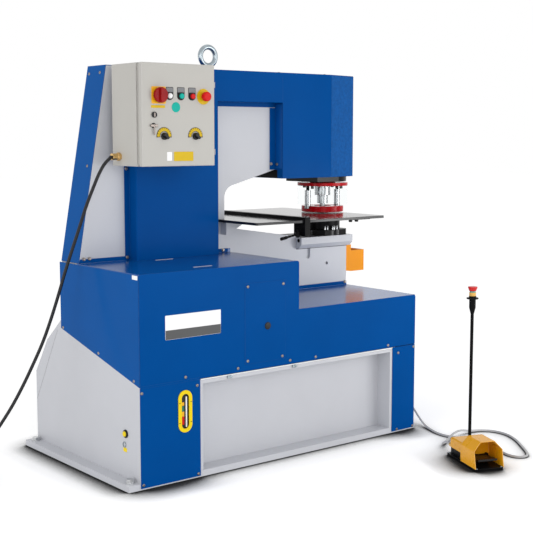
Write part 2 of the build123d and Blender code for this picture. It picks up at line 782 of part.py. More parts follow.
def frame_plate(y):
    points = [
        (FRAME_LEFT_X, BASE_THICK),
        (FRAME_LEFT_X, HIGH_TOP_Z),
        (FRAME_TOP_LEFT_X, FRAME_TOP_Z),
        (HEAD_END_X, FRAME_TOP_Z),
        (HEAD_END_X, HEAD_UNDER_Z),
        (THROAT_SLOPE_X, HEAD_UNDER_Z),
        (THROAT_BACK_X, THROAT_TOP_Z),
        (THROAT_BACK_X, THROAT_LOW_Z),
        (ARM_SLOPE_X, ARM_SLOPE_Z),
        (ARM_SLOPE_X, ARM_TOP_Z),
        (ARM_END_X, ARM_TOP_Z),
        (ARM_END_X, ARM_UNDER_Z),
        (FOOT_END_X, ARM_UNDER_Z),
        (FOOT_END_X, BASE_THICK),
    ]
    radii = [0, 0, 0, 0, 0, THROAT_TOP_RADIUS, THROAT_LOW_RADIUS, 0, 0, 0, 0, 0]
    outline = FilletPolyline(*[(x, y, z) for x, z in points], radius=radii, close=False)
    foot = Line((FOOT_END_X, y, BASE_THICK), (FRAME_LEFT_X, y, BASE_THICK))
    plate = extrude(make_face([outline, foot]), amount=PLATE_THICK, dir=(0, 1, 0))
    return plate - rod_z(AXIS_X, AXIS_Y, HEAD_UNDER_Z, FRAME_TOP_Z, BARREL_DIAMETER + 2 * BARREL_CLEAR)


def front_plate():
    plate = frame_plate(FRAME_FRONT_Y)
    notch_back = FRAME_FRONT_Y + ARM_NOTCH_INTO
    notch_z = ARM_TOP_Z - ARM_NOTCH_DEPTH + ARM_NOTCH_WIDTH / 2
    plate -= block(ARM_NOTCH_X - ARM_NOTCH_WIDTH / 2, ARM_NOTCH_X + ARM_NOTCH_WIDTH / 2, FRAME_FRONT_Y,
                   notch_back, notch_z, ARM_TOP_Z)
    plate -= rod_y(ARM_NOTCH_X, notch_z, FRAME_FRONT_Y, notch_back, ARM_NOTCH_WIDTH)
    return plate - rod_y(ARM_HOLE_X, ARM_HOLE_Z, FRAME_FRONT_Y, FRAME_FRONT_Y + PLATE_THICK,
                         ARM_HOLE_DIAMETER)


def web_strips(points):
    # flat strips between the plates along an open path, each mitred to the next
    inner = thick_path(points, -WEB_THICK)[:len(points) - 1:-1]
    strips = []
    for i in range(len(points) - 1):
        section = [points[i], points[i + 1], inner[i + 1], inner[i]]
        strips.append(prism_xz(section, FRAME_FRONT_Y + PLATE_THICK, FRAME_BACK_Y - PLATE_THICK))
    return strips


def c_frame():
    back_webs = web_strips([
        (FRAME_LEFT_X, BASE_THICK),
        (FRAME_LEFT_X, HIGH_TOP_Z),
        (FRAME_TOP_LEFT_X, FRAME_TOP_Z),
        (BARREL_LEFT_X, FRAME_TOP_Z),
    ])
    throat_webs = web_strips([
        (BARREL_LEFT_X, HEAD_UNDER_Z),
        (THROAT_SLOPE_X, HEAD_UNDER_Z),
        (THROAT_BACK_X, THROAT_TOP_Z),
        (THROAT_BACK_X, THROAT_LOW_Z),
        (ARM_SLOPE_X, ARM_SLOPE_Z),
        (ARM_SLOPE_X, ARM_TOP_Z),
    ])
    foot_webs = web_strips([
        (FOOT_END_X, ARM_UNDER_Z),
        (FOOT_END_X, BASE_THICK),
        (FRAME_LEFT_X + WEB_THICK, BASE_THICK),
    ])
    # the slugs fall between these two webs and leave through the gap above the end web
    arm_top = web_strips([(ARM_SLOPE_X - WEB_THICK, ARM_TOP_Z), (AXIS_X - SLUG_HOLE / 2, ARM_TOP_Z)])
    arm_top += web_strips([(AXIS_X + SLUG_HOLE / 2, ARM_TOP_Z), (ARM_END_X, ARM_TOP_Z)])
    arm_end = web_strips([(ARM_END_X, SLUG_WINDOW_LOW_Z), (ARM_END_X, ARM_UNDER_Z)])[0]
    plates = [front_plate(), frame_plate(FRAME_BACK_Y - PLATE_THICK)]
    return plates + back_webs + throat_webs + foot_webs + arm_top + [arm_end]


def rear_edge_cover():
    path = [(HEAD_LEFT_X, FRAME_TOP_Z), (FRAME_TOP_LEFT_X, FRAME_TOP_Z), (FRAME_LEFT_X, HIGH_TOP_Z)]
    section = thick_path(path, -EDGE_COVER)
    cover = prism_xz(section, FRAME_FRONT_Y, FRAME_BACK_Y)
    return cover - rod_z(EYE_X, AXIS_Y, FRAME_TOP_Z - EDGE_COVER, FRAME_TOP_Z + 2 * EDGE_COVER, EYE_BAR)


def eye_bolt():
    ring_radius = (EYE_OUTER - EYE_BAR) / 2
    ring_z = EYE_TOP_Z - EYE_OUTER / 2
    seat = FRAME_TOP_Z + EDGE_COVER
    eye = Pos(EYE_X, AXIS_Y, ring_z) * Rot(90, 0, 0) * Torus(ring_radius, EYE_BAR / 2)
    eye += rod_z(EYE_X, AXIS_Y, seat, seat + EYE_COLLAR, EYE_COLLAR_DIAMETER)
    eye += rod_z(EYE_X, AXIS_Y, FRAME_TOP_Z, ring_z - ring_radius, EYE_BAR)
    return eye


def column_cover():
    def outline(inset, foot, right):
        return [(COLUMN_LEFT_X + inset, foot), (COLUMN_RIGHT_X - inset, foot),
                (COLUMN_RIGHT_X - inset, ARM_COVER_Z + inset), (right, ARM_COVER_Z + inset),
                (right, FRAME_TOP_Z - inset), (COLUMN_LEFT_X + inset, FRAME_TOP_Z - inset)]
    cover = prism_xz(outline(0, HIGH_TOP_Z, HEAD_LEFT_X), COVER_FRONT_Y, FRAME_FRONT_Y)
    folds = front_part(cover, COVER_FRONT_Y)
    folds = [e for e in folds if e.center().Z > HIGH_TOP_Z + TOUCH and e.center().X < HEAD_LEFT_X - TOUCH]
    cover = fillet(folds, COVER_BEND)
    cover -= prism_xz(outline(COVER, HIGH_TOP_Z - SHEET, HEAD_LEFT_X + SHEET), COVER_FRONT_Y + COVER,
                      FRAME_FRONT_Y + COVER)
    flange_y = FRAME_FRONT_Y - COVER
    cover += block(COLUMN_LEFT_X - COVER_FLANGE, COLUMN_LEFT_X + COVER, flange_y, FRAME_FRONT_Y, HIGH_TOP_Z,
                   FRAME_TOP_Z)
    cover += block(COLUMN_RIGHT_X - COVER, HEAD_LEFT_X, flange_y, FRAME_FRONT_Y,
                   ARM_COVER_Z - ARM_COVER_FLANGE, ARM_COVER_Z + COVER)
    return cover


def head_outline(inset):
    lean = inset * math.tan(math.atan2(HEAD_BEVEL, HEAD_NOSE_X - HEAD_BEVEL_X) / 2)
    front = HEAD_FRONT_Y + inset
    back = HEAD_BACK_Y - inset
    nose = HEAD_NOSE_X - inset
    drop = HEAD_BEVEL * (nose - HEAD_BEVEL_X + lean) / (HEAD_NOSE_X - HEAD_BEVEL_X)
    return [(HEAD_LEFT_X + inset, front), (HEAD_BEVEL_X - lean, front), (nose, front + drop),
            (nose, back - drop), (HEAD_BEVEL_X - lean, back), (HEAD_LEFT_X + inset, back)]


def head_cover():
    cover = prism_xy(head_outline(0), FLANGE_TOP_Z, FRAME_TOP_Z)
    folds = cover.edges().filter_by(Axis.Z) + upper_part(cover, FRAME_TOP_Z)
    cover = fillet([e for e in folds if e.center().X > HEAD_LEFT_X + TOUCH], COVER_BEND)
    cover -= prism_xy(head_outline(COVER), FLANGE_TOP_Z - COVER, FRAME_TOP_Z - COVER)
    wall = (HEAD_LEFT_X - COVER, HEAD_LEFT_X + 2 * COVER)
    cover -= block(*wall, FRAME_FRONT_Y, FRAME_BACK_Y, HEAD_UNDER_Z, FRAME_TOP_Z)
    cover -= block(*wall, COVER_FRONT_Y + COVER, FRAME_FRONT_Y, ARM_COVER_Z + COVER, FRAME_TOP_Z - COVER)
    cover -= block(HEAD_LEFT_X - COVER, HEAD_END_X, FRAME_FRONT_Y, FRAME_BACK_Y, FRAME_TOP_Z - 2 * COVER,
                   FRAME_TOP_Z)
    flange_top = ARM_COVER_Z - ARM_COVER_FLANGE - COVER
    for y0 in (FRAME_FRONT_Y - COVER, FRAME_BACK_Y):
        cover += block(HEAD_LEFT_X - HEAD_FLANGE, HEAD_LEFT_X + COVER, y0, y0 + COVER, HEAD_UNDER_Z,
                       flange_top)
    return cover


def cylinder_barrel():
    barrel = rod_z(AXIS_X, AXIS_Y, FLANGE_TOP_Z, BARREL_TOP_Z, BARREL_DIAMETER)
    return barrel - rod_z(AXIS_X, AXIS_Y, FLANGE_TOP_Z, BARREL_TOP_Z - BARREL_CAP, BARREL_BORE)


def cylinder_flange():
    half = FLANGE_WIDTH / 2
    flange = block(AXIS_X - FLANGE_TAIL, AXIS_X, AXIS_Y - half, AXIS_Y + half, FLANGE_LOW_Z, FLANGE_TOP_Z)
    flange += rod_z(AXIS_X, AXIS_Y, FLANGE_LOW_Z, FLANGE_TOP_Z, FLANGE_WIDTH)
    flange = chamfer(upper_part(flange, FLANGE_LOW_Z), RIM_EDGE)
    return flange - rod_z(AXIS_X, AXIS_Y, FLANGE_LOW_Z, FLANGE_TOP_Z, ROD_DIAMETER + 2 * RUNNING_FIT)


def ram():
    piston = rod_z(AXIS_X, AXIS_Y, PISTON_LOW_Z, PISTON_LOW_Z + PISTON_HEIGHT, BARREL_BORE - 2 * RUNNING_FIT)
    return piston + rod_z(AXIS_X, AXIS_Y, ROD_END_Z, PISTON_LOW_Z, ROD_DIAMETER)


def coupling_nut():
    nut = disc_z(AXIS_X, AXIS_Y, NUT_LOW_Z, ROD_END_Z, NUT_DIAMETER)
    nut -= rod_z(AXIS_X, AXIS_Y, NUT_LOW_Z, ROD_END_Z, PUNCH_BODY)
    nut -= rod_z(AXIS_X, AXIS_Y, ROD_END_Z - PUNCH_SHOULDER_HEIGHT, ROD_END_Z, PUNCH_SHOULDER)
    for turn in range(4):
        notch = block(NUT_DIAMETER / 2 - NUT_NOTCH / 2, NUT_DIAMETER / 2, -NUT_NOTCH / 2, NUT_NOTCH / 2,
                      NUT_LOW_Z + NUT_NOTCH, ROD_END_Z - NUT_NOTCH)
        nut -= Pos(AXIS_X, AXIS_Y, 0) * Rot(0, 0, 90 * turn + 45) * notch
    return nut


def punch():
    shank = rod_z(AXIS_X, AXIS_Y, PUNCH_TIP_Z, PUNCH_BODY_END_Z, PUNCH_DIAMETER)
    shank += rod_z(AXIS_X, AXIS_Y, PUNCH_BODY_END_Z, ROD_END_Z, PUNCH_BODY)
    return shank + rod_z(AXIS_X, AXIS_Y, ROD_END_Z - PUNCH_SHOULDER_HEIGHT, ROD_END_Z, PUNCH_SHOULDER)


def stripper_plate():
    plate = disc_z(AXIS_X, AXIS_Y, STRIPPER_LOW_Z, STRIPPER_TOP_Z, STRIPPER_PLATE_DIAMETER)
    plate += rod_z(AXIS_X, AXIS_Y, STRIPPER_TOP_Z, FLANGE_LOW_Z, STRIPPER_HUB_DIAMETER)
    plate -= rod_z(AXIS_X, AXIS_Y, STRIPPER_LOW_Z, FLANGE_LOW_Z, ROD_DIAMETER + 2 * ROD_CLEAR)
    for x, y in GUIDE_PLACES:
        plate -= rod_z(x, y, STRIPPER_LOW_Z, FLANGE_LOW_Z, GUIDE_DIAMETER)
    return plate


def guide_rods():
    return [rod_z(x, y, GUIDE_END_Z, STRIPPER_TOP_Z, GUIDE_DIAMETER) for x, y in GUIDE_PLACES]


def guide_sleeves():
    sleeves = []
    for x, y in GUIDE_PLACES:
        sleeve = rod_z(x, y, SLEEVE_LOW_Z, SLEEVE_TOP_Z, SLEEVE_DIAMETER)
        sleeve -= rod_z(x, y, SLEEVE_LOW_Z + SLEEVE_FLOOR, SLEEVE_TOP_Z, GUIDE_DIAMETER + 2 * GUIDE_FIT)
        sleeves.append(sleeve)
    return sleeves


def stripper_ring():
    ring = disc_z(AXIS_X, AXIS_Y, RING_LOW_Z, RING_TOP_Z, RING_DIAMETER)
    ring -= rod_z(AXIS_X, AXIS_Y, RING_LOW_Z, RING_TOP_Z, RING_HOLE)
    ring -= rod_z(AXIS_X, AXIS_Y, RING_LOW_Z + RING_WELL_FLOOR, RING_TOP_Z, RING_WELL)
    half = RING_SEAT_WIDTH / 2
    edge = RING_DIAMETER / 2
    for x0 in (AXIS_X - edge, AXIS_X + edge - RING_SEAT_LENGTH):
        ring -= block(x0, x0 + RING_SEAT_LENGTH, AXIS_Y - half, AXIS_Y + half, SLEEVE_LOW_Z, RING_TOP_Z)
    return ring


def punch_guard():
    diameter = STRIPPER_PLATE_DIAMETER - 2 * GUARD_INSET
    guard = rod_z(AXIS_X, AXIS_Y, GUARD_LOW_Z, STRIPPER_LOW_Z, diameter)
    return guard - rod_z(AXIS_X, AXIS_Y, GUARD_LOW_Z, STRIPPER_LOW_Z, diameter - 2 * GUARD_WALL)


def bolster():
    back = BOLSTER_FRONT_Y + BOLSTER_WIDTH
    side_z = ARM_TOP_Z + BOLSTER_BEVEL
    points = [(BOLSTER_FRONT_Y + BOLSTER_BEVEL, ARM_TOP_Z), (back - BOLSTER_BEVEL, ARM_TOP_Z), (back, side_z),
              (back, BOLSTER_TOP_Z), (BOLSTER_FRONT_Y, BOLSTER_TOP_Z), (BOLSTER_FRONT_Y, side_z)]
    body = prism_yz(points, BOLSTER_X, BOLSTER_X + BOLSTER_LENGTH)
    return body - rod_z(AXIS_X, AXIS_Y, ARM_TOP_Z, BOLSTER_TOP_Z, SLUG_HOLE)


def die_holder():
    half = HOLDER_SIZE / 2
    cut = half - HOLDER_CORNER
    quarter = [(half, -cut), (half, cut)]
    points = [(AXIS_X + x, AXIS_Y + y) for x, y in quarter]
    points += [(AXIS_X - y, AXIS_Y + x) for x, y in quarter]
    points += [(AXIS_X - x, AXIS_Y - y) for x, y in quarter]
    points += [(AXIS_X + y, AXIS_Y - x) for x, y in quarter]
    holder = prism_xy(points, BOLSTER_TOP_Z, HOLDER_TOP_Z)
    holder += disc_z(AXIS_X, AXIS_Y, HOLDER_TOP_Z, TABLE_LOW_Z, HOLDER_COLLAR_DIAMETER)
    holder -= rod_z(AXIS_X, AXIS_Y, HOLDER_TOP_Z, TABLE_LOW_Z, DIE_DIAMETER + 2 * DIE_FIT)
    return holder - rod_z(AXIS_X, AXIS_Y, BOLSTER_TOP_Z, HOLDER_TOP_Z, SLUG_HOLE)


def die():
    body = rod_z(AXIS_X, AXIS_Y, HOLDER_TOP_Z, TABLE_TOP_Z, DIE_DIAMETER)
    body -= rod_z(AXIS_X, AXIS_Y, HOLDER_TOP_Z, TABLE_TOP_Z, PUNCH_DIAMETER + 2 * DIE_CLEAR)
    return body - rod_z(AXIS_X, AXIS_Y, HOLDER_TOP_Z, TABLE_TOP_Z - DIE_LAND, DIE_RELIEF)


def table_support():
    brackets = []
    for y in (FRAME_FRONT_Y - GUSSET_DEPTH, FRAME_BACK_Y):
        brackets.append(block(GUSSET_X, GUSSET_X + GUSSET_LENGTH, y, y + GUSSET_DEPTH,
                              TABLE_LOW_Z - GUSSET_HEIGHT, TABLE_LOW_Z))
    return brackets


def table_plate():
    plate = block(TABLE_LEFT_X, TABLE_RIGHT_X, TABLE_FRONT_Y, TABLE_FRONT_Y + TABLE_WIDTH, TABLE_LOW_Z,
                  TABLE_TOP_Z)
    plate = fillet(plate.edges().filter_by(Axis.Z), TABLE_CORNER)
    plate = chamfer(upper_part(plate, TABLE_TOP_Z), TABLE_EDGE)
    plate -= block(TABLE_LEFT_X, THROAT_BACK_X + TABLE_GAP, FRAME_FRONT_Y - TABLE_GAP,
                   FRAME_BACK_Y + TABLE_GAP, TABLE_LOW_Z, TABLE_TOP_Z)
    return plate - rod_z(AXIS_X, AXIS_Y, TABLE_LOW_Z, TABLE_TOP_Z, DIE_DIAMETER + 2 * TABLE_HOLE_GAP)


def fence():
    low = TABLE_TOP_Z + SLIDE_GAP
    top = low + FENCE_HEIGHT
    right = FENCE_X + FENCE_WIDTH
    bar = block(FENCE_X, right, LIP_BACK_Y, FENCE_FRONT_Y + FENCE_LENGTH, low, top)
    bar += block(CLAMP_X, right, LIP_FRONT_Y, LIP_BACK_Y, CLAMP_LOW_Z, top)
    bar += block(CLAMP_X, right, LIP_BACK_Y, CLAMP_BACK_Y, CLAMP_LOW_Z, TABLE_LOW_Z - SLIDE_GAP)
    half = LEVER_LUG_WIDTH / 2
    bar += block(LEVER_X - half, CLAMP_X, LEVER_Y - half, LEVER_Y + half, LUG_LOW_Z,
                 LUG_LOW_Z + LEVER_LUG_THICK)
    head_top = LEVER_LOW_Z - SLIDE_GAP
    bar += rod_z(LEVER_X, LEVER_Y, head_top, LUG_LOW_Z, LEVER_PIN_DIAMETER)
    return bar + rod_z(LEVER_X, LEVER_Y, head_top - LEVER_PIN_HEAD_HEIGHT, head_top, LEVER_PIN_HEAD)


def clamp_lever():
    arm = Pos(-LEVER_LENGTH / 2, 0, 0) * Rot(0, 90, 0) * Cylinder(LEVER_ROD / 2, LEVER_LENGTH)
    grip_x = -LEVER_LENGTH + LEVER_GRIP_LENGTH / 2
    arm += Pos(grip_x, 0, 0) * Rot(0, 90, 0) * Cylinder(LEVER_GRIP / 2, LEVER_GRIP_LENGTH)
    lever = rod_z(LEVER_X, LEVER_Y, LEVER_LOW_Z, LEVER_TOP_Z, LEVER_HUB_DIAMETER)
    lever += Pos(LEVER_X, LEVER_Y, (LEVER_LOW_Z + LEVER_TOP_Z) / 2) * Rot(0, -LEVER_DROP_DEGREES, 0) * arm
    return lever - rod_z(LEVER_X, LEVER_Y, LEVER_LOW_Z, LEVER_TOP_Z, LEVER_PIN_DIAMETER + 2 * LEVER_PIN_FIT)


def slug_chute():
    start = ARM_END_X
    middle = start + CHUTE_NECK
    end = middle + CHUTE_BOX
    y0 = AXIS_Y - CHUTE_WIDTH / 2
    y1 = AXIS_Y + CHUTE_WIDTH / 2
    wall = CHUTE_WALL
    neck_low = CHUTE_LOW_Z + CHUTE_NECK_RISE
    outline = [(start, neck_low), (middle, CHUTE_LOW_Z), (end, CHUTE_LOW_Z), (end, CHUTE_BOX_TOP_Z),
               (middle, CHUTE_BOX_TOP_Z), (middle, CHUTE_TOP_Z), (start, CHUTE_TOP_Z)]
    inside = [(start, neck_low + wall), (middle, CHUTE_LOW_Z + wall), (end - wall, CHUTE_LOW_Z + wall),
              (end - wall, CHUTE_TOP_Z), (start, CHUTE_TOP_Z)]
    return prism_xz(outline, y0, y1) - prism_xz(inside, y0 + wall, y1 - wall)


def tank():
    x0 = BODY_LEFT + SHEET + TANK_CLEAR
    x1 = x0 + TANK_LENGTH
    y0 = FRONT_Y + TANK_FRONT_GAP
    y1 = FRAME_FRONT_Y - TANK_BACK_GAP
    top = BASE_THICK + TANK_HEIGHT
    body = block(x0, x1, y0, y1, BASE_THICK, top)
    return body - block(x0 + TANK_WALL, x1 - TANK_WALL, y0 + TANK_WALL, y1 - TANK_WALL,
                        BASE_THICK + TANK_WALL, top)


def motor():
    body = rod_x(MOTOR_Y, MOTOR_Z, MOTOR_X, MOTOR_X + MOTOR_LENGTH, MOTOR_DIAMETER)
    foot_x = MOTOR_X + (MOTOR_LENGTH - MOTOR_FOOT_LENGTH) / 2
    body += block(foot_x, foot_x + MOTOR_FOOT_LENGTH, MOTOR_Y - MOTOR_FOOT_WIDTH / 2,
                  MOTOR_Y + MOTOR_FOOT_WIDTH / 2, BASE_THICK, BASE_THICK + MOTOR_FOOT_HEIGHT)
    half = MOTOR_BOX / 2
    middle = MOTOR_X + MOTOR_LENGTH / 2
    body += block(middle - half, middle + half, MOTOR_Y - half, MOTOR_Y + half, MOTOR_Z,
                  MOTOR_Z + MOTOR_DIAMETER / 2 + half / 2)
    return body


def pump():
    tank_x = BODY_LEFT + SHEET + TANK_CLEAR + TANK_LENGTH
    body = rod_x(MOTOR_Y, MOTOR_Z, MOTOR_X - BELL_LENGTH, MOTOR_X, BELL_DIAMETER)
    body += rod_x(MOTOR_Y, MOTOR_Z, MOTOR_X - BELL_LENGTH - PUMP_LENGTH, MOTOR_X - BELL_LENGTH, PUMP_DIAMETER)
    return body + rod_x(MOTOR_Y, MOTOR_Z, tank_x, MOTOR_X - BELL_LENGTH - PUMP_LENGTH, SUCTION_DIAMETER)


def round_tube(path, diameter):
    start = path.position_at(0)
    section = Plane(origin=start, z_dir=path.tangent_at(0)) * Circle(diameter / 2)
    return sweep(section, path=path)


def pressure_pipe():
    pump_top = MOTOR_Z + PUMP_DIAMETER / 2
    path = FilletPolyline(
        (PIPE_X, MOTOR_Y, pump_top),
        (PIPE_X, MOTOR_Y, PIPE_RISE_Z),
        (PIPE_X, PIPE_Y, PIPE_BACK_Z),
        (PIPE_X, PIPE_Y, PIPE_TOP_Z),
        (PIPE_END_X, PIPE_Y, PIPE_TOP_Z),
        (PIPE_END_X, PIPE_END_Y, PIPE_TOP_Z),
        (PIPE_END_X, PIPE_END_Y, BARREL_TOP_Z),
        radius=[PIPE_BEND, PIPE_BEND, PIPE_BEND, PIPE_ELBOW, PIPE_ELBOW],
        close=False,
    )
    return round_tube(path, PIPE_DIAMETER)


def cabinet_box():
    back = CABINET_BACK_Y
    front = CABINET_FRONT_Y
    wall = CABINET_WALL
    rim_front = DOOR_BACK_Y + DOOR_GAP
    inner = RIM_INSET + wall
    box = block(CABINET_LEFT_X, CABINET_RIGHT_X, front, back, CABINET_LOW_Z, CABINET_TOP_Z)
    box = fillet(box.edges().filter_by(Axis.Y), CABINET_BEND)
    box -= block(CABINET_LEFT_X + wall, CABINET_RIGHT_X - wall, front + wall, back - wall,
                 CABINET_LOW_Z + wall, CABINET_TOP_Z - wall)
    box += block(CABINET_LEFT_X + RIM_INSET, CABINET_RIGHT_X - RIM_INSET, rim_front, front,
                 CABINET_LOW_Z + RIM_INSET, CABINET_TOP_Z - RIM_INSET)
    box -= block(CABINET_LEFT_X + inner, CABINET_RIGHT_X - inner, rim_front - wall, front + 2 * wall,
                 CABINET_LOW_Z + inner, CABINET_TOP_Z - inner)
    for z in HINGE_HEIGHTS:
        box += block(CABINET_RIGHT_X, CABINET_RIGHT_X + HINGE_LEAF, HINGE_Y, front + HINGE_LEAF_REACH,
                     z, z + HINGE_HALF)
        box += rod_z(HINGE_X, HINGE_Y, z, z + HINGE_HALF, HINGE_KNUCKLE)
        box += rod_z(HINGE_X, HINGE_Y, z - HINGE_GAP - HINGE_HALF, z, HINGE_PIN)
    return box


def door_stem_hole(x, z, diameter):
    return rod_y(x, z, DOOR_FRONT_Y - CABINET_WALL, DOOR_FRONT_Y + 2 * CABINET_WALL, diameter + 2 * STEM_FIT)


def cabinet_door():
    wall = CABINET_WALL
    door = block(CABINET_LEFT_X, CABINET_RIGHT_X, DOOR_FRONT_Y, DOOR_BACK_Y, CABINET_LOW_Z, CABINET_TOP_Z)
    door = fillet(door.edges().filter_by(Axis.Y) + front_part(door, DOOR_FRONT_Y), CABINET_BEND)
    door -= block(CABINET_LEFT_X + wall, CABINET_RIGHT_X - wall, DOOR_FRONT_Y + wall, DOOR_BACK_Y,
                  CABINET_LOW_Z + wall, CABINET_TOP_Z - wall)
    for z in HINGE_HEIGHTS:
        low = z - HINGE_GAP - HINGE_HALF
        door += block(CABINET_RIGHT_X, CABINET_RIGHT_X + HINGE_LEAF, DOOR_FRONT_Y, HINGE_Y, low,
                      z - HINGE_GAP)
        door += rod_z(HINGE_X, HINGE_Y, low, z - HINGE_GAP, HINGE_KNUCKLE)
        door -= rod_z(HINGE_X, HINGE_Y, low, z - HINGE_GAP, HINGE_PIN + 2 * HINGE_FIT)
    door -= door_stem_hole(SWITCH_X, SWITCH_Z, STEM_DIAMETER)
    door -= door_stem_hole(START_X, BUTTON_Z, STEM_DIAMETER)
    door -= door_stem_hole(STOP_X, BUTTON_Z, STEM_DIAMETER)
    door -= door_stem_hole(ESTOP_X, BUTTON_Z, ESTOP_STEM)
    door -= door_stem_hole(LOCK_X, LOCK_Z, STEM_DIAMETER)
    for x in SELECTOR_X:
        door -= door_stem_hole(x, SELECTOR_Z, STEM_DIAMETER)
    return door


def stem(x, z, front, diameter=STEM_DIAMETER):
    return rod_y(x, z, front, DOOR_FRONT_Y + STEM_REACH, diameter)


def main_switch():
    front = DOOR_FRONT_Y - KNOB_GAP
    disc_back = front - SWITCH_NECK_REACH
    disc_front = disc_back - SWITCH_THICK
    knob = rod_y(SWITCH_X, SWITCH_Z, disc_back, front, SWITCH_NECK)
    knob += knob_y(SWITCH_X, SWITCH_Z, disc_front, disc_back, SWITCH_DIAMETER, KNOB_ROUND)
    grip = block(SWITCH_X - SWITCH_GRIP_WIDTH / 2, SWITCH_X + SWITCH_GRIP_WIDTH / 2,
                 disc_front - SWITCH_GRIP_HEIGHT, disc_front, SWITCH_Z - SWITCH_DIAMETER / 2,
                 SWITCH_Z + SWITCH_DIAMETER / 2)
    round_end = knob_y(SWITCH_X, SWITCH_Z, disc_front - SWITCH_GRIP_HEIGHT, disc_front,
                       SWITCH_DIAMETER - 2 * KNOB_ROUND, KNOB_ROUND)
    return knob + (grip & round_end) + stem(SWITCH_X, SWITCH_Z, front)


def push_button(x):
    back = DOOR_FRONT_Y - KNOB_GAP - BUTTON_TRAVEL
    cap = knob_y(x, BUTTON_Z, back - BUTTON_CAP, back, BUTTON_DIAMETER, KNOB_ROUND)
    return cap + stem(x, BUTTON_Z, back)


def estop_head():
    front = DOOR_FRONT_Y - ESTOP_REACH
    head = knob_y(ESTOP_X, BUTTON_Z, front, front + ESTOP_CAP, ESTOP_DIAMETER, ESTOP_ROUND)
    return head + stem(ESTOP_X, BUTTON_Z, front + ESTOP_CAP, ESTOP_STEM)


def selector(x):
    front = DOOR_FRONT_Y - KNOB_GAP
    base = front - SELECTOR_BASE
    half = SELECTOR_DIAMETER / 2
    grip = block(-half, half, base - SELECTOR_GRIP_HEIGHT, base, -SELECTOR_GRIP_WIDTH / 2,
                 SELECTOR_GRIP_WIDTH / 2)
    grip = grip & knob_y(0, 0, base - SELECTOR_GRIP_HEIGHT, base, SELECTOR_DIAMETER, KNOB_ROUND)
    knob = knob_y(x, SELECTOR_Z, base, front, SELECTOR_DIAMETER, KNOB_ROUND)
    knob += Pos(x, 0, SELECTOR_Z) * Rot(0, -SELECTOR_REST_DEGREES, 0) * grip
    return knob + stem(x, SELECTOR_Z, front)


def door_lock():
    front = DOOR_FRONT_Y - KNOB_GAP
    lock = rod_y(LOCK_X, LOCK_Z, front - LOCK_PROUD, front, LOCK_DIAMETER)
    lock -= block(LOCK_X - LOCK_SLOT / 2, LOCK_X + LOCK_SLOT / 2, front - LOCK_PROUD, front - LOCK_PROUD / 2,
                  LOCK_Z - LOCK_SLOT_LENGTH / 2, LOCK_Z + LOCK_SLOT_LENGTH / 2)
    lock += stem(LOCK_X, LOCK_Z, front)
    back = DOOR_FRONT_Y + STEM_REACH
    return lock + block(LOCK_X - LOCK_TONGUE_WIDTH / 2, LOCK_X + LOCK_TONGUE_WIDTH / 2, back,
                        back + LOCK_TONGUE_THICK, LOCK_Z - LOCK_TONGUE_LENGTH,
                        LOCK_Z + LOCK_TONGUE_WIDTH / 2)


def cable_glands():
    nut = Rot(0, -90, 0) * hexagon_prism(GLAND_HEX, GLAND_HEX_LENGTH)
    dome = rod_x(0, 0, -GLAND_LENGTH, -GLAND_HEX_LENGTH, GLAND_DOME)
    mains = Pos(CABINET_LEFT_X, MAINS_GLAND_Y, MAINS_GLAND_Z) * (nut + dome)
    body = rod_x(BODY_GLAND_Y, BODY_GLAND_Z, BODY_RIGHT, BODY_GLAND_END_X, SMALL_GLAND_DIAMETER)
    pedal = PEDAL_PLACE * rod_y(PEDAL_GLAND_X, PEDAL_GLAND_Z, PEDAL_BODY_END,
                                PEDAL_BODY_END + SMALL_GLAND_LENGTH, SMALL_GLAND_DIAMETER)
    return [mains, body, pedal]


def pedal_base():
    half = PEDAL_WIDTH / 2
    base = block(-half, half, 0, PEDAL_LENGTH, 0, PEDAL_BASE)
    base = fillet(base.edges().filter_by(Axis.Z), PEDAL_CORNER)
    base += block(-PEDAL_BODY_WIDTH / 2, PEDAL_BODY_WIDTH / 2, PEDAL_BODY_START, PEDAL_BODY_END, PEDAL_BASE,
                  PEDAL_BODY_TOP)
    ear_x = TREADLE_WIDTH / 2 + EAR_GAP
    for x0 in (-ear_x - EAR_WIDTH, ear_x):
        base += block(x0, x0 + EAR_WIDTH, TREADLE_PIN_Y - EAR_DEPTH / 2, TREADLE_PIN_Y + EAR_DEPTH / 2,
                      PEDAL_BASE, TREADLE_PIN_Z + EAR_DEPTH / 2)
    base -= rod_x(TREADLE_PIN_Y, TREADLE_PIN_Z, -half, half, TREADLE_PIN_DIAMETER + 2 * TREADLE_PIN_FIT)
    return PEDAL_PLACE * base


def hood_section(inset, low_z):
    half = PEDAL_WIDTH / 2 - inset
    top_half = HOOD_TOP_WIDTH / 2 - inset / 2
    return [(-half, low_z), (half, low_z), (half, HOOD_SIDE_Z), (top_half, HOOD_TOP_Z - inset),
            (-top_half, HOOD_TOP_Z - inset), (-half, HOOD_SIDE_Z)]


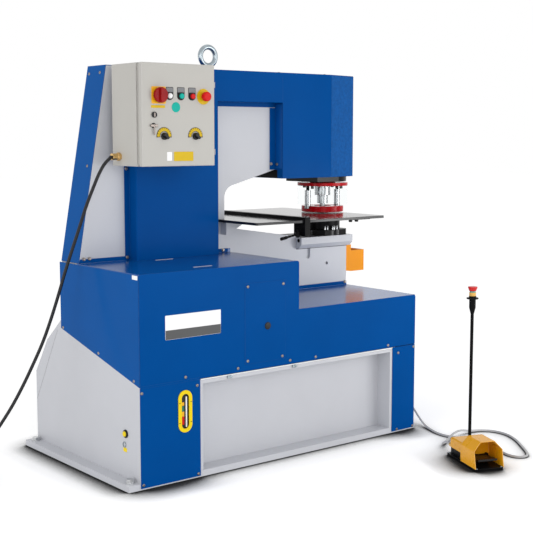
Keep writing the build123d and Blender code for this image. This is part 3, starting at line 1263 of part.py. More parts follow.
def pedal_hood():
    hood = prism_xz(hood_section(0, PEDAL_BASE), 0, HOOD_LENGTH)
    folds = [e for e in hood.edges().filter_by(Axis.Y) if e.center().Z > PEDAL_BASE + TOUCH]
    hood = fillet(folds, HOOD_BEND)
    hood -= prism_xz(hood_section(HOOD_WALL, 0), -HOOD_WALL, HOOD_LENGTH - HOOD_WALL)
    mouth = [(0, PEDAL_BASE), (HOOD_LEAN, HOOD_TOP_Z), (-HOOD_LEAN, HOOD_TOP_Z), (-HOOD_LEAN, PEDAL_BASE)]
    hood -= prism_yz(mouth, -PEDAL_WIDTH, PEDAL_WIDTH)
    half = HOUSING_WIDTH / 2
    housing = block(-half, half, HOOD_LENGTH, PEDAL_BODY_END, PEDAL_BODY_TOP, HOUSING_TOP_Z)
    rims = [e for e in upper_part(housing, HOUSING_TOP_Z) if e.center().Y > HOOD_LENGTH + TOUCH]
    housing = chamfer(rims, HOUSING_EDGE)
    housing += block(-half, half, HOOD_LENGTH, PEDAL_BODY_START, PEDAL_BASE, PEDAL_BODY_TOP)
    return PEDAL_PLACE * (hood + housing)


def treadle():
    half = TREADLE_WIDTH / 2
    toe_y = TREADLE_PIN_Y - TREADLE_LENGTH
    rise = TREADLE_RISE
    thick = TREADLE_THICK
    low = TREADLE_PIN_Z - thick / 2
    points = [(TREADLE_PIN_Y, low), (TREADLE_PIN_Y, low + thick), (toe_y, low + thick + rise),
              (toe_y, low + rise)]
    plate = prism_yz(points, -half, half)
    plate += rod_x(TREADLE_PIN_Y, TREADLE_PIN_Z, -half, half, TREADLE_HUB)
    plate += rod_x(TREADLE_PIN_Y, TREADLE_PIN_Z, -half - EAR_GAP - EAR_WIDTH, half + EAR_GAP + EAR_WIDTH,
                   TREADLE_PIN_DIAMETER)
    return PEDAL_PLACE * plate


def mast():
    pole = rod_z(MAST_X, MAST_Y, HOUSING_TOP_Z, MAST_TOP_Z, MAST_DIAMETER)
    grip_top = MAST_TOP_Z + GRIP_LENGTH
    taper = Cone(MAST_DIAMETER / 2, GRIP_DIAMETER / 2, GRIP_TAPER)
    pole += Pos(MAST_X, MAST_Y, MAST_TOP_Z + GRIP_TAPER / 2) * taper
    pole += rod_z(MAST_X, MAST_Y, MAST_TOP_Z + GRIP_TAPER, grip_top, GRIP_DIAMETER)
    pole += disc_z(MAST_X, MAST_Y, grip_top, grip_top + GRIP_FLANGE, GRIP_FLANGE_DIAMETER)
    pole += rod_z(MAST_X, MAST_Y, grip_top + GRIP_FLANGE, MAST_COLLAR_Z, GRIP_BOSS_DIAMETER)
    return PEDAL_PLACE * pole


def estop_collar():
    top = MAST_COLLAR_Z + COLLAR_HEIGHT
    collar = rod_z(MAST_X, MAST_Y, MAST_COLLAR_Z, top, COLLAR_DIAMETER)
    collar -= rod_z(MAST_X, MAST_Y, MAST_COLLAR_Z + COLLAR_FLOOR, top, MUSHROOM_STEM + 2 * COLLAR_FIT)
    return PEDAL_PLACE * collar


def mast_estop():
    low = MAST_COLLAR_Z + COLLAR_HEIGHT + MUSHROOM_GAP
    flare = MUSHROOM_HEIGHT - MUSHROOM_RIM
    head = rod_z(MAST_X, MAST_Y, low + flare, low + MUSHROOM_HEIGHT, MUSHROOM_DIAMETER)
    head = fillet(upper_part(head, low + MUSHROOM_HEIGHT), MUSHROOM_RIM / 2)
    head += Pos(MAST_X, MAST_Y, low + flare / 2) * Cone(MUSHROOM_NECK / 2, MUSHROOM_DIAMETER / 2, flare)
    return PEDAL_PLACE * (head + rod_z(MAST_X, MAST_Y, low - MUSHROOM_STEM_LENGTH, low, MUSHROOM_STEM))


def cord_path(name, points):
    radii = []
    for before, point, after in zip(points, points[1:], points[2:]):
        into = Vector(*point) - Vector(*before)
        out = Vector(*after) - Vector(*point)
        turn = math.radians(into.get_angle(out))
        radii.append(0.45 * min(into.length, out.length) / math.tan(turn / 2))
    print(name, "radii", [round(r) for r in radii])
    return FilletPolyline(*points, radius=radii, close=False)


def cord_tube(name, points, diameter):
    path = cord_path(name, points)
    tube = round_tube(path, diameter)
    share = tube.volume / (path.length * math.pi * diameter ** 2 / 4)
    print(name, "length", round(path.length), "volume share", round(share, 4))
    return tube


def mains_cable():
    return cord_tube("mains_cable", MAINS_POINTS, MAINS_DIAMETER)


def pedal_cable():
    points = [(BODY_GLAND_END_X + x, y, z) for x, y, z in PEDAL_CABLE_POINTS]
    for lead in (PEDAL_CABLE_LEAD, 0):
        place = Pos(PEDAL_GLAND_X, PEDAL_BODY_END + SMALL_GLAND_LENGTH + lead, PEDAL_GLAND_Z)
        points.append(tuple((PEDAL_PLACE * place).position))
    return cord_tube("pedal_cable", points, PEDAL_CABLE_DIAMETER)


def coil_centre():
    x, y, z = MAINS_POINTS[-1]
    return x, y - COIL_TURN_RADIUS, z


def coil_point(turn):
    # a spiral inwards on the floor, a climb in half a turn, and the same spiral outwards above
    into = COIL_TURNS_A_LAYER
    x, y, z = coil_centre()
    if turn <= into:
        radius = COIL_TURN_RADIUS - COIL_STEP * turn
        lift = 0
    elif turn <= into + 0.5:
        share = 2 * (turn - into)
        radius = COIL_TURN_RADIUS - COIL_STEP * into - COIL_STEP / (2 * math.pi) * math.sin(math.pi * share)
        lift = COIL_STEP * share * share * (3 - 2 * share)
    else:
        radius = COIL_TURN_RADIUS - COIL_STEP * into + COIL_STEP * (turn - into - 0.5)
        lift = COIL_STEP
    angle = math.pi / 2 + 2 * math.pi * turn
    return Vector(x + radius * math.cos(angle), y + radius * math.sin(angle), z + lift)


def coil_direction(turn):
    small = 1e-4
    last = 2 * COIL_TURNS_A_LAYER + 0.5
    return (coil_point(min(turn + small, last)) - coil_point(max(turn - small, 0))).normalized()


def biarc(p0, t0, p1, t1):
    # two arcs that leave p0 along t0, meet smoothly and reach p1 along t1
    chord = p1 - p0
    both = t0 + t1
    bend = 2 * (1 - t0.dot(t1))
    reach = (math.sqrt(chord.dot(both) ** 2 + bend * chord.dot(chord)) - chord.dot(both)) / bend
    knee0 = p0 + t0 * reach
    knee1 = p1 - t1 * reach
    joint = (knee0 + knee1) * 0.5
    return [TangentArc(p0, joint, tangent=t0), TangentArc(joint, p1, tangent=(knee1 - knee0).normalized())]


def coil_end():
    last = 2 * COIL_TURNS_A_LAYER + 0.5
    return coil_point(last) + coil_direction(last) * COIL_TAIL, coil_direction(last)


def mains_coil():
    last = 2 * COIL_TURNS_A_LAYER + 0.5
    steps = round(4 * last)
    edges = []
    for i in range(steps):
        a = last * i / steps
        b = last * (i + 1) / steps
        edges += biarc(coil_point(a), coil_direction(a), coil_point(b), coil_direction(b))
    end, _ = coil_end()
    edges.append(Line(coil_point(last), end))
    path = Wire([edge.edge() for edge in edges])
    tube = round_tube(path, MAINS_DIAMETER)
    print("mains_coil length", round(path.length), "least gap", round(coil_gap(last), 2),
          "volume share", round(tube.volume / (path.length * math.pi * MAINS_DIAMETER ** 2 / 4), 4))
    return tube


def coil_gap(last):
    # least distance between stretches of the wire at least a third of a turn apart
    count = 400
    places = [coil_point(last * i / count) for i in range(count + 1)]
    apart = round(count / last / 3)
    least = min((places[i] - places[j]).length for i in range(count + 1) for j in range(i + apart, count + 1))
    return least - MAINS_DIAMETER


def mains_plug():
    end, direction = coil_end()
    body = Pos(0, 0, PLUG_NECK_LENGTH / 2) * Cylinder(PLUG_NECK / 2, PLUG_NECK_LENGTH)
    grip_end = PLUG_LENGTH - PLUG_COLLAR_LENGTH
    grip = Pos(0, 0, PLUG_NECK_LENGTH) * Cone(PLUG_NECK / 2, PLUG_DIAMETER / 2, grip_end - PLUG_NECK_LENGTH,
                                              align=(Align.CENTER, Align.CENTER, Align.MIN))
    collar = Pos(0, 0, (grip_end + PLUG_LENGTH) / 2) * Cylinder(PLUG_DIAMETER / 2, PLUG_COLLAR_LENGTH)
    well = Cylinder(PLUG_DIAMETER / 2 - PLUG_COLLAR_WALL, PLUG_COLLAR_LENGTH - PLUG_COLLAR_WALL)
    collar -= Pos(0, 0, (grip_end + PLUG_COLLAR_WALL + PLUG_LENGTH) / 2) * well
    plug = body + grip + collar
    pin_low = grip_end + PLUG_COLLAR_WALL
    for i in range(5):
        angle = math.radians(72 * i + 90)
        x = PLUG_PIN_CIRCLE / 2 * math.cos(angle)
        y = PLUG_PIN_CIRCLE / 2 * math.sin(angle)
        plug += rod_z(x, y, pin_low, pin_low + PLUG_PIN_LENGTH, PLUG_PIN)
    return Plane(origin=end, z_dir=direction).location * plug


NODES = {
    "base_plate": base_plate,
    "anchor_bolts": anchor_bolts,
    "recess_liner": recess_liner,
    "front_panel": front_panel,
    "front_left_cover": front_left_cover,
    "right_post_cover": right_post_cover,
    "side_panel_left": side_panel_left,
    "lower_side_left": lower_side_left,
    "right_end_panel": right_end_panel,
    "rear_cover": rear_cover,
    "high_top_cover": high_top_cover,
    "low_top_cover": low_top_cover,
    "sight_gauge": sight_gauge,
    "tank": tank,
    "motor": motor,
    "pump": pump,
    "pressure_pipe": pressure_pipe,
    "c_frame": c_frame,
    "rear_edge_cover": rear_edge_cover,
    "eye_bolt": eye_bolt,
    "column_cover": column_cover,
    "head_cover": head_cover,
    "cylinder_barrel": cylinder_barrel,
    "cylinder_flange": cylinder_flange,
    "ram": ram,
    "coupling_nut": coupling_nut,
    "punch": punch,
    "stripper_plate": stripper_plate,
    "guide_rods": guide_rods,
    "guide_sleeves": guide_sleeves,
    "stripper_ring": stripper_ring,
    "punch_guard": punch_guard,
    "bolster": bolster,
    "die_holder": die_holder,
    "die": die,
    "table_support": table_support,
    "table_plate": table_plate,
    "fence": fence,
    "clamp_lever": clamp_lever,
    "slug_chute": slug_chute,
    "cabinet_box": cabinet_box,
    "cabinet_door": cabinet_door,
    "main_switch": main_switch,
    "start_button": lambda: push_button(START_X),
    "stop_button": lambda: push_button(STOP_X),
    "estop_head": estop_head,
    "selector_left": lambda: selector(SELECTOR_X[0]),
    "selector_right": lambda: selector(SELECTOR_X[1]),
    "door_lock": door_lock,
    "cable_glands": cable_glands,
    "pedal_base": pedal_base,
    "pedal_hood": pedal_hood,
    "treadle": treadle,
    "mast": mast,
    "estop_collar": estop_collar,
    "mast_estop": mast_estop,
    "mains_cable": mains_cable,
    "mains_coil": mains_coil,
    "mains_plug": mains_plug,
    "pedal_cable": pedal_cable,
}


def main():
    os.makedirs("parts", exist_ok=True)
    for name, make in NODES.items():
        made = make()
        solids = made if isinstance(made, list) else made.solids()
        shape = solids[0] if len(solids) == 1 else Compound(children=list(solids))
        export_step(shape, f"parts/{name}.step")


main()
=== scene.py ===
import math

import bmesh
import bpy
from mathutils import Matrix, Vector


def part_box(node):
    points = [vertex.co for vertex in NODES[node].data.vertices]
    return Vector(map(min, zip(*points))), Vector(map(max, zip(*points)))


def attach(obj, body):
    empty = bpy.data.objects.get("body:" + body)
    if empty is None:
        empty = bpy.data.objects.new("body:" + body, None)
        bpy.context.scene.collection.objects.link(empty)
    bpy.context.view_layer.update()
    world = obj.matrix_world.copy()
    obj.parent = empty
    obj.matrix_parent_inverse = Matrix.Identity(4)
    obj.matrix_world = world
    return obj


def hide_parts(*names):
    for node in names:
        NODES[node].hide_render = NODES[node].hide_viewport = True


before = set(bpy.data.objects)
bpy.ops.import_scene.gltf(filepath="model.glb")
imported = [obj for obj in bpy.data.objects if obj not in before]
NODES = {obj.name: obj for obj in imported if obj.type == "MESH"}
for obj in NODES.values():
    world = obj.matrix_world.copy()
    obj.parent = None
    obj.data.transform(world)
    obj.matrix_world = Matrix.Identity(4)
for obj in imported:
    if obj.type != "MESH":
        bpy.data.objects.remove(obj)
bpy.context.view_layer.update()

MM = 0.001

# Camera, solved from the photograph's box edges
CAMERA_PLACE = (-3.0546, -4.1282, 1.400)
CAMERA_AZIMUTH = 38.64
CAMERA_PITCH = 6.63
CAMERA_LENS = 75.44
SENSOR = 36
CAMERA_REACH = 100

# Light; each lamp has a name, a place, an aim, a size, a power and a spread in degrees
WORLD_COLOUR = (1, 1, 1, 1)
WORLD_FILL = 0.75
BACKDROP = 1.0
FLOOR_COLOUR = (0.95, 0.95, 0.95)
FLOOR_GLOW = 0.33
FLOOR_SIZE = 30
FLOOR_DROP = 0.0005
# A contact shadow painted into the floor's colour, from occlusion leaning to one side
CONTACT_REACH = 0.17
CONTACT_OPEN = 0.60
CONTACT_SAMPLES = 16
CONTACT_LEAN = (0.40, 0.20, 0.89)
CONTACT_SHADOW_TONE = (0.02, 0.02, 0.02)
LAMPS = [
    ("key", (-2.6, -4.8, 1.9), (0.1, 0, 0.75), 3.0, 50, 180),
    ("left", (-5.2, -0.8, 1.3), (0, 0, 0.8), 2.5, 40, 180),
    ("fill", (2.6, -4.2, 0.8), (0.6, 0, 0.9), 2.5, 62, 180),
    ("arm", (1.9, -1.6, 0.9), (0.60, 0.04, 0.78), 0.6, 0.45, 44),
]

# Colours, linear
BLUE = (0.0005, 0.066, 0.276)
# Painted light: a lighter copy of the blue paint, for the left side and the tops
LIT_SIDE_BLUE = (0.0008, 0.083, 0.325)
# Painted light: a still lighter copy of the blue that brightens the head's shaded left wall
LIT_WALL_BLUE = (0.0010, 0.090, 0.370)
# Painted sheen: a lighter blue for the head's chamfered corner
SHEEN_CORNER_BLUE = (0.0045, 0.086, 0.312)
GREY = (0.548, 0.558, 0.594)
CABINET_GREY = (0.476, 0.464, 0.432)
# Painted shade: a darker grey that draws the fold in the lower side sheet
CREASE_SHADE_GREY = (0.36, 0.365, 0.38)
BLACK = (0.0045, 0.0045, 0.005)
TABLE_BLACK = (0.010, 0.010, 0.012)
RED_PAINT = (0.440, 0.004, 0.009)
RED = (0.60, 0.010, 0.009)
DARK_RED = (0.280, 0.004, 0.005)
SCREW = (0.300, 0.260, 0.235)
ORANGE = (0.850, 0.305, 0.010)
HOOD_YELLOW = (0.840, 0.390, 0.006)
PLATE_ORANGE = (0.880, 0.440, 0.010)
YELLOW = (0.860, 0.640, 0.006)
DOOR_YELLOW = (0.660, 0.445, 0.008)
GREEN = (0.003, 0.420, 0.340)
SCALE_GREEN = (0.010, 0.140, 0.095)
WHITE = (0.90, 0.90, 0.90)
PLATE_GREY = (0.075, 0.076, 0.078)
LABEL_GREY = (0.20, 0.205, 0.215)
PALE_STRIP = (0.66, 0.60, 0.58)
TEAL = (0.03, 0.36, 0.33)
OILED_BLACK = (0.024, 0.024, 0.026)
RUBBER_BLACK = (0.010, 0.010, 0.011)
RUBBER_GREY = (0.46, 0.46, 0.47)
STEEL = (0.56, 0.57, 0.58)
ZINC = (0.34, 0.39, 0.42)
BRIGHT_STEEL = (0.34, 0.35, 0.36)
DULL_ZINC = (0.50, 0.52, 0.53)
BRASS = (0.72, 0.47, 0.18)
CAST_IRON = (0.16, 0.165, 0.17)
PALE_YELLOW = (0.74, 0.43, 0.10)
CLEAR = (0.97, 0.985, 0.985)

# What the finishes share
BEVEL_SAMPLES = 4
EDGE_FLAT = 0.98
EDGE_TURNED = 0.84
LEAST_ROUGH = 0.02
ROUGH_PATCHES = 4
PATCH_DETAIL = 3.0
PATCH_TONES = (0.3, 0.7)
BAND_BLUR = 0.2
BUTTON_BAND_Z = 747.5
HAZE_SPREAD = 0.04
HAZE_SCALE = 120.0

# Finishes, and the nodes of the frame dressed in each
# The edge settings of each finish paint a highlight along its edges, paler towards white
LOOKS = {
    "blue_paint": dict(colour=BLUE, rough=0.22, rough_spread=0.03, specular=0.015, spread=0.03, bump=0.04,
                       edge=0.002, edge_highlight=0.25, highlight_lift=0.15),
    # Painted light on the left side: the lighter blue
    "blue_side_lit": dict(colour=LIT_SIDE_BLUE, rough=0.20, rough_spread=0.03, specular=0.035, spread=0.03,
                      bump=0.04, edge=0.003, edge_highlight=0.4, highlight_lift=0.2),
    # Painted light on the tops: the same lighter blue as the side
    "blue_top_lit": dict(colour=LIT_SIDE_BLUE, rough=0.19, rough_spread=0.02, spread=0.03, bump=0.02, highlight_lift=0.2),
    # Painted light on the head's left wall
    "blue_wall_lit": dict(colour=LIT_WALL_BLUE, rough=0.30, specular=0.20, spread=0.03, bump=0.04, highlight_lift=0.2),
    # Painted sheen on the head's corner: lighter blue with strong speckled patches of tone
    "blue_corner_sheen": dict(colour=SHEEN_CORNER_BLUE, rough=0.30, specular=0.05, spread=0.16, patch=75.0, bump=0.4,
                        grain=160, depth=0.0008, highlight_lift=0.2),
    "grey_paint": dict(colour=GREY, rough=0.34, specular=0.3, spread=0.015, bump=0.06),
    "cabinet_paint": dict(colour=CABINET_GREY, rough=0.38, specular=0.3, spread=0.015, bump=0.2, grain=700,
                          edge=0.004, edge_highlight=0.8, highlight_lift=0.5),
    # Painted shade for the fold in the lower side sheet
    "crease_shade_grey": dict(colour=CREASE_SHADE_GREY, specular=0.3, spread=0.02, bump=0.06),
    "black_steel": dict(colour=BLACK, rough=0.30, specular=0.05, spread=0.2, highlight_lift=0.10),
    "oiled_steel": dict(colour=OILED_BLACK, rough=0.30, spread=0.2, highlight_lift=0.15),
    "black_gloss": dict(colour=BLACK, rough=0.10, rough_spread=0.03, specular=0.12, spread=0.2, bump=0.04,
                        highlight_lift=0.12),
    "table_steel": dict(colour=TABLE_BLACK, rough=0.11, rough_spread=0.015, specular=0.25, spread=0.2,
                        bump=0.006, edge_highlight=0.15, highlight_lift=0.1),
    "black_plastic": dict(colour=BLACK, rough=0.42, specular=0.3, spread=0.2, bump=0.2, grain=1400,
                          highlight_lift=0.08),
    "black_rubber": dict(colour=RUBBER_BLACK, rough=0.48, specular=0.3, spread=0.2, bump=0.2, highlight_lift=0.05),
    "grey_rubber": dict(colour=RUBBER_GREY, rough=0.32, spread=0.1, bump=0.5, grain=420, depth=0.0006,
                        highlight_lift=0.2),
    "steel": dict(colour=STEEL, rough=0.28, metal=1.0, stretch=(1, 1, 0.08)),
    "zinc": dict(colour=ZINC, rough=0.24, metal=1.0, spread=0.25, patch=18.0),
    "bright_steel": dict(colour=BRIGHT_STEEL, rough=0.18, metal=1.0, spread=0.12, bump=0.02, patch=34.0,
                         stretch=(1, 1, 0.1)),
    "plate_zinc": dict(colour=DULL_ZINC, rough=0.52, metal=0.8, spread=0.10, patch=18.0),
    "screw_steel": dict(colour=SCREW, rough=0.38, metal=1.0, spread=0.2),
    "brass": dict(colour=BRASS, rough=0.26, metal=1.0, spread=0.08, bump=0.08),
    "cast_iron": dict(colour=CAST_IRON, rough=0.55, specular=0.4, spread=0.12, bump=0.4, grain=500),
    "red_paint": dict(colour=RED_PAINT, rough=0.14, rough_spread=0.04, specular=0.10, spread=0.08,
                      bump=0.05, highlight_lift=0.3),
    "dark_red": dict(colour=DARK_RED, rough=0.18, specular=0.10, spread=0.15, bump=0.08, patch=30.0,
                     highlight_lift=0.25),
    "red_plastic": dict(colour=RED, rough=0.24, specular=0.10, spread=0.05, bump=0.05, highlight_lift=0.2),
    "orange_paint": dict(colour=ORANGE, rough=0.32, specular=0.12, spread=0.04, bump=0.08, edge=0.003,
                         edge_highlight=0.5),
    "yellow_paint": dict(colour=HOOD_YELLOW, rough=0.28, specular=0.30, spread=0.05, edge=0.003, edge_highlight=0.6,
                         highlight_lift=0.4),
    "plate_orange": dict(colour=PLATE_ORANGE, rough=0.34, specular=0.3, spread=0.03, bump=0.05),
    "pale_yellow": dict(colour=PALE_YELLOW, rough=0.34, specular=0.25, spread=0.04, bump=0.05),
    "yellow_plastic": dict(colour=YELLOW, rough=0.30, specular=0.12, spread=0.03, bump=0.06),
    "door_yellow": dict(colour=DOOR_YELLOW, rough=0.30, specular=0.12, spread=0.03, bump=0.06),
    "green_plastic": dict(colour=GREEN, rough=0.28, specular=0.10, spread=0.05, bump=0.05),
    "scale_green": dict(colour=SCALE_GREEN, rough=0.34, specular=0.3, spread=0.05, bump=0.04),
    "white_plastic": dict(colour=WHITE, rough=0.3, specular=0.3, spread=0.015, bump=0.05),
    "plate_grey": dict(colour=PLATE_GREY, rough=0.36, specular=0.3, spread=0.05, bump=0.05),
    "label_grey": dict(colour=LABEL_GREY, specular=0.3, spread=0.05, bump=0.05),
    "pale_strip": dict(colour=PALE_STRIP, specular=0.3, spread=0.05, bump=0.05),
}
FINISHES = {
    "blue_paint": ["front_panel", "front_left_cover", "right_post_cover", "right_end_panel", "column_cover",
                   "head_cover"],
    "blue_side_lit": ["side_panel_left", "rear_edge_cover"],
    "blue_top_lit": ["high_top_cover", "low_top_cover"],
    "grey_paint": ["base_plate", "recess_liner", "lower_side_left", "rear_cover", "c_frame", "bolster",
                   "tank", "table_support"],
    "cabinet_paint": ["cabinet_box", "cabinet_door"],
    "black_gloss": ["cylinder_flange"],
    "black_steel": ["guide_rods", "die_holder", "fence", "clamp_lever", "pedal_base", "mast"],
    "table_steel": ["table_plate"],
    "black_plastic": ["selector_left", "selector_right", "door_lock", "treadle"],
    "steel": ["anchor_bolts", "pressure_pipe", "cylinder_barrel", "ram", "die"],
    "bright_steel": ["coupling_nut", "guide_sleeves", "punch"],
    "zinc": ["eye_bolt"],
    "brass": ["cable_glands"],
    "cast_iron": ["motor", "pump"],
    "red_paint": ["stripper_plate", "stripper_ring"],
    "dark_red": ["main_switch"],
    "red_plastic": ["stop_button", "estop_head", "mains_plug"],
    "button_head": ["mast_estop"],
    "orange_paint": ["slug_chute"],
    "yellow_paint": ["pedal_hood"],
    "yellow_plastic": ["sight_gauge"],
    "pale_yellow": ["estop_collar"],
    "green_plastic": ["start_button"],
    "clear": ["punch_guard"],
}

# Faces that small pieces sit on: directions across and up
FACES = {
    "front": ((1, 0, 0), (0, 0, 1)),
    "left": ((0, -1, 0), (0, 0, 1)),
    "right": ((0, 1, 0), (0, 0, 1)),
    "back": ((-1, 0, 0), (0, 0, 1)),
    "top": ((1, 0, 0), (0, 1, 0)),
    "below": ((1, 0, 0), (0, -1, 0)),
}
FRONT_FACE_Y = -448
DOOR_FACE_Y = -250
PLATE_FACE_Y = 40
COVER_FLANGE_Y = 37.5
LEFT_FACE_X = -750
HIGH_TOP_Z = 865
TABLE_LOW_Z = 1010
STRIPPER_LOW_Z = 1156
BOLSTER_TOP_Z = 910
BOLSTER_LEFT_X = 464
AXIS_X = 700
AXIS_Y = 115
PEDAL_PLACE = (536.5, -1142, 0)
PEDAL_TURN = -22

# Mesh detail
ROUND_STEPS = 24
RING_STEPS = 40
DISC_STEPS = 48
CORNER_STEPS = 6
ARC_STEPS = 20
TICK_STEPS = 2
SMOOTH_ANGLE = 35
CORNERS = [(-1, -1), (-1, 1), (1, -1), (1, 1)]

# A plate's size is its width, height and thickness, then corner and broken edge where they aren't these
PLATE_CORNER = 2
PLATE_EDGE = 0.4
FINE_EDGE = 0.2
RING_EDGE = 0.5
FRAME_EDGE = 0.6

# Screws and bolts
SCREW_RADIUS = 6.5
SCREW_PROFILE = [(1.0, 0.0), (1.0, 0.14), (0.92, 0.34), (0.74, 0.49), (0.52, 0.55)]
SCREW_SOCKET = (0.8, 0.2)
FRONT_SCREWS = [
    (-266, 432), (19, 431), (167, 428), (618, 427), (-533, 431), (-476, 389), (-743, 393), (-739, 19),
    (-472, 16), (686, 383), (789, 401), (683, 13), (789, 13),
]
PANEL_SCREWS = [(-214, 774), (-21, 772), (-215, 457), (-26, 456)]
LEFT_SCREWS = [(170, 575), (-130, 507), (-404, 436)]
RIGHT_SCREWS = [(-420, 51), (-420, 624), (410, 51), (410, 315), (165, 604)]
EDGE_SCREWS = [(-600.5, 167, 1669), (-600.1, 77, 1671), (-669.6, 77, 1276)]
EDGE_LEAN = 9.98
BOLT_FLATS = 11
BOLT_HEAD = 5
BOLT_WASHER = 16
BOLT_WASHER_THICK = 2
WASHER_BREAK = 0.5
BOLT_BREAK = 1
SOCKET_BREAK = 1.5

# Cables
MAINS_DIAMETER = 14
MAINS_POINTS = [
    (-640, -75, 1317), (-667, -72, 1297), (-695, -66, 1252), (-719, -56, 1190), (-746, -44, 1118),
    (-771, -30, 1030), (-800, -15, 935), (-829, 0, 838), (-854, 14, 742), (-881, 30, 645),
    (-912, 45, 550), (-950, 60, 462), (-993, 73, 372), (-1041, 86, 284), (-1097, 99, 202),
    (-1152, 110, 126), (-1204, 120, 66), (-1262, 128, 25), (-1324, 135, 7), (-1362, 134, 7),
]
COIL_TURN_RADIUS = 84
COIL_TURNS_A_LAYER = 1.5
COIL_CLIMB = 0.5
COIL_STEP = 14.7
COIL_TAIL = 28
COIL_POINTS_A_TURN = 24
COIL_BIT = 0.001
PEDAL_CABLE_DIAMETER = 10
PEDAL_CABLE_POINTS = [
    (816, -330, 120), (842, -330, 120), (864, -340, 108), (874, -364, 82), (872, -398, 50),
    (862, -438, 24), (845, -487, 8), (824, -540, 5), (803, -600, 5), (799, -658, 5),
    (817, -715, 5), (838, -782, 5), (838, -852, 5), (818, -925, 5), (792, -995, 5),
    (774, -1050, 5), (782, -1096, 5), (824, -1112, 5), (874, -1072, 5), (940, -988, 5),
    (1006, -902, 5), (1048, -814, 5), (1044, -738, 5), (1002, -690, 5), (940, -676, 9),
    (872, -682, 26), (800, -700, 26), (735, -722, 9), (683, -747, 9), (648, -775, 22),
    (624, -808, 38), (609.4, -841.4, 46), (599.7, -865.5, 46),
]
CORD_BEVEL = 5
CORD_STEPS = 10
CORD_ORDER = 3

# Front plates and trims
PANEL_THICK = 1.2
PANEL_CENTRE = (-118.5, FRONT_FACE_Y, 615.5)
PANEL_SIZE = (221, 345, PANEL_THICK, 4)
PLUG_PLACE = (-107, FRONT_FACE_Y - PANEL_THICK, 597)
PLUG_PROFILE = [(16, 0), (16, 1.5), (14.5, 3.2), (9, 4.2), (4, 4.4)]
BARE_PLATE = (-492, FRONT_FACE_Y, 642.5)
BARE_PLATE_SIZE = (274, 99, 1.2, 3)
BARE_BAND = (-492, FRONT_FACE_Y - 1.2, 612.8)
BARE_BAND_SIZE = (272, 37.6, 0.6, 2, FINE_EDGE)
SIDE_PLATE = (LEFT_FACE_X, -420, 851.5)
SIDE_PLATE_SIZE = (40, 17, 1)
TOP_STRIPS = [(-365.5, -47, 91, 8), (-386, -366.5, 92, 9)]
TOP_STRIP_THICK = 1
TOP_STRIP_CORNER = 1.5
# A white strip of painted highlight along the edge where blue meets grey
SEAM_HIGHLIGHT_CENTRE = (95, FRONT_FACE_Y, 411)
SEAM_HIGHLIGHT_SIZE = (1104, 4, 0.8, 1, FINE_EDGE)
JOINT_CENTRE = (-605, FRONT_FACE_Y, 416)
JOINT_SIZE = (289, 9, 0.5, 1, FINE_EDGE)
RAIL_BRACKETS = [(-309, 402), (44, 402)]
RAIL_BRACKET_THICK = 4
RAIL_BRACKET_SIZE = (24, 12, RAIL_BRACKET_THICK, 3)
RAIL_BRACKET_SCREW = 4.5
COVER_INSET = 25
REAR_SCREW_ZS = [35, 150]

# Paint skins, some in lighter blues of painted light, and folds drawn as darker strips of painted shade; an
# outline on a left face counts forwards and up
SIDE_SKIN = [(445, 415), (-190, 571), (-190, 862), (445, 862)]
SIDE_SKIN_THICK = 0.6
CREASE_ENDS = [(224, 557), (432, 211)]
CREASE_SECTION = (2.4, 0.4, 1, FINE_EDGE)
SKIRT_FACE_Y = 37
SKIRT_SKINS = [(-738, -513, 866), (-46, 44, 866), (71, 797, 653)]
SKIRT_SKIN_HEIGHT = 16.5
SKIRT_SKIN_THICK = 0.4
HEAD_WALL_X = 330
HEAD_WALL_BOLT = (HEAD_WALL_X, 24, 1269)
HEAD_WALL_SKIN = [(12, 1250), (-36, 1250), (-36, 1552), (12, 1552)]
# A black plate of painted shade where the head's underside lies in shadow
HEAD_SHADE_PLATE = (HEAD_WALL_X, 131, 1223)
HEAD_SHADE_PLATE_SIZE = (218, 39, 0.8)
HEAD_CORNER = (636, -18, 1202)
HEAD_CORNER_TURN = 12.14
HEAD_CORNER_SKIN = [(3, 2), (186, 2), (186, 493), (3, 493)]
HEAD_SKIN_THICK = 0.5
HEAD_LID = (496, 115, 1700)
HEAD_LID_THICK = 1.5
HEAD_LID_SIZE = (322, 186, HEAD_LID_THICK, 4)
HEAD_LID_INSET = 16
GUSSET_OUTLINE = [(5, 1010), (5, 950), (20, 952), (99, 996), (99, 1010)]
GUSSET_BACK_Y = 235
GUSSET_DEPTH = 240

# Oil drain and sight gauge
DRAIN_PLACE = (LEFT_FACE_X, -337, 209)
DRAIN_COLLAR = [(17, 0), (17, 4), (15.5, 6), (12, 6.5)]
DRAIN_CAP = [(11, 6), (11, 9), (9.5, 11), (5, 11.5)]
DRAIN_RING = (LEFT_FACE_X, -326, 162)
DRAIN_RING_SIZE = (12, 8.5, 3)
DRAIN_TAG = (LEFT_FACE_X, -330, 141)
DRAIN_TAG_SIZE = (26, 17, 1.2, 3)
GAUGE_BEZEL = (-537, -449, 290.5)
GAUGE_BEZEL_SIZE = (46, 154, 22.5, 5, 4)
GAUGE_BACK = (-537, -444, 290.5)
GAUGE_BACK_SIZE = (44, 152, 2, 21.5)
GAUGE_FACE_Y = -452
GAUGE_TICKS = [(-565, 327), (-565, 244), (-509, 327), (-509, 244)]
GAUGE_TICK_SIZE = (7, 2.5, 0.6, 1, FINE_EDGE)
GAUGE_SCALE = (-546, -446)
GAUGE_SCALE_WIDTH = 12
GAUGE_SCALE_THICK = 1
GAUGE_SCALE_CORNER = 1
GAUGE_BANDS = [
    ("scale_high", "plate_orange", 314, 328),
    ("scale_right", "scale_green", 290, 312),
    ("scale_low", "plate_orange", 269, 289),
    ("scale_empty", "red_plastic", 235, 268),
]
GAUGE_TUBE = (-530, -447, 0)
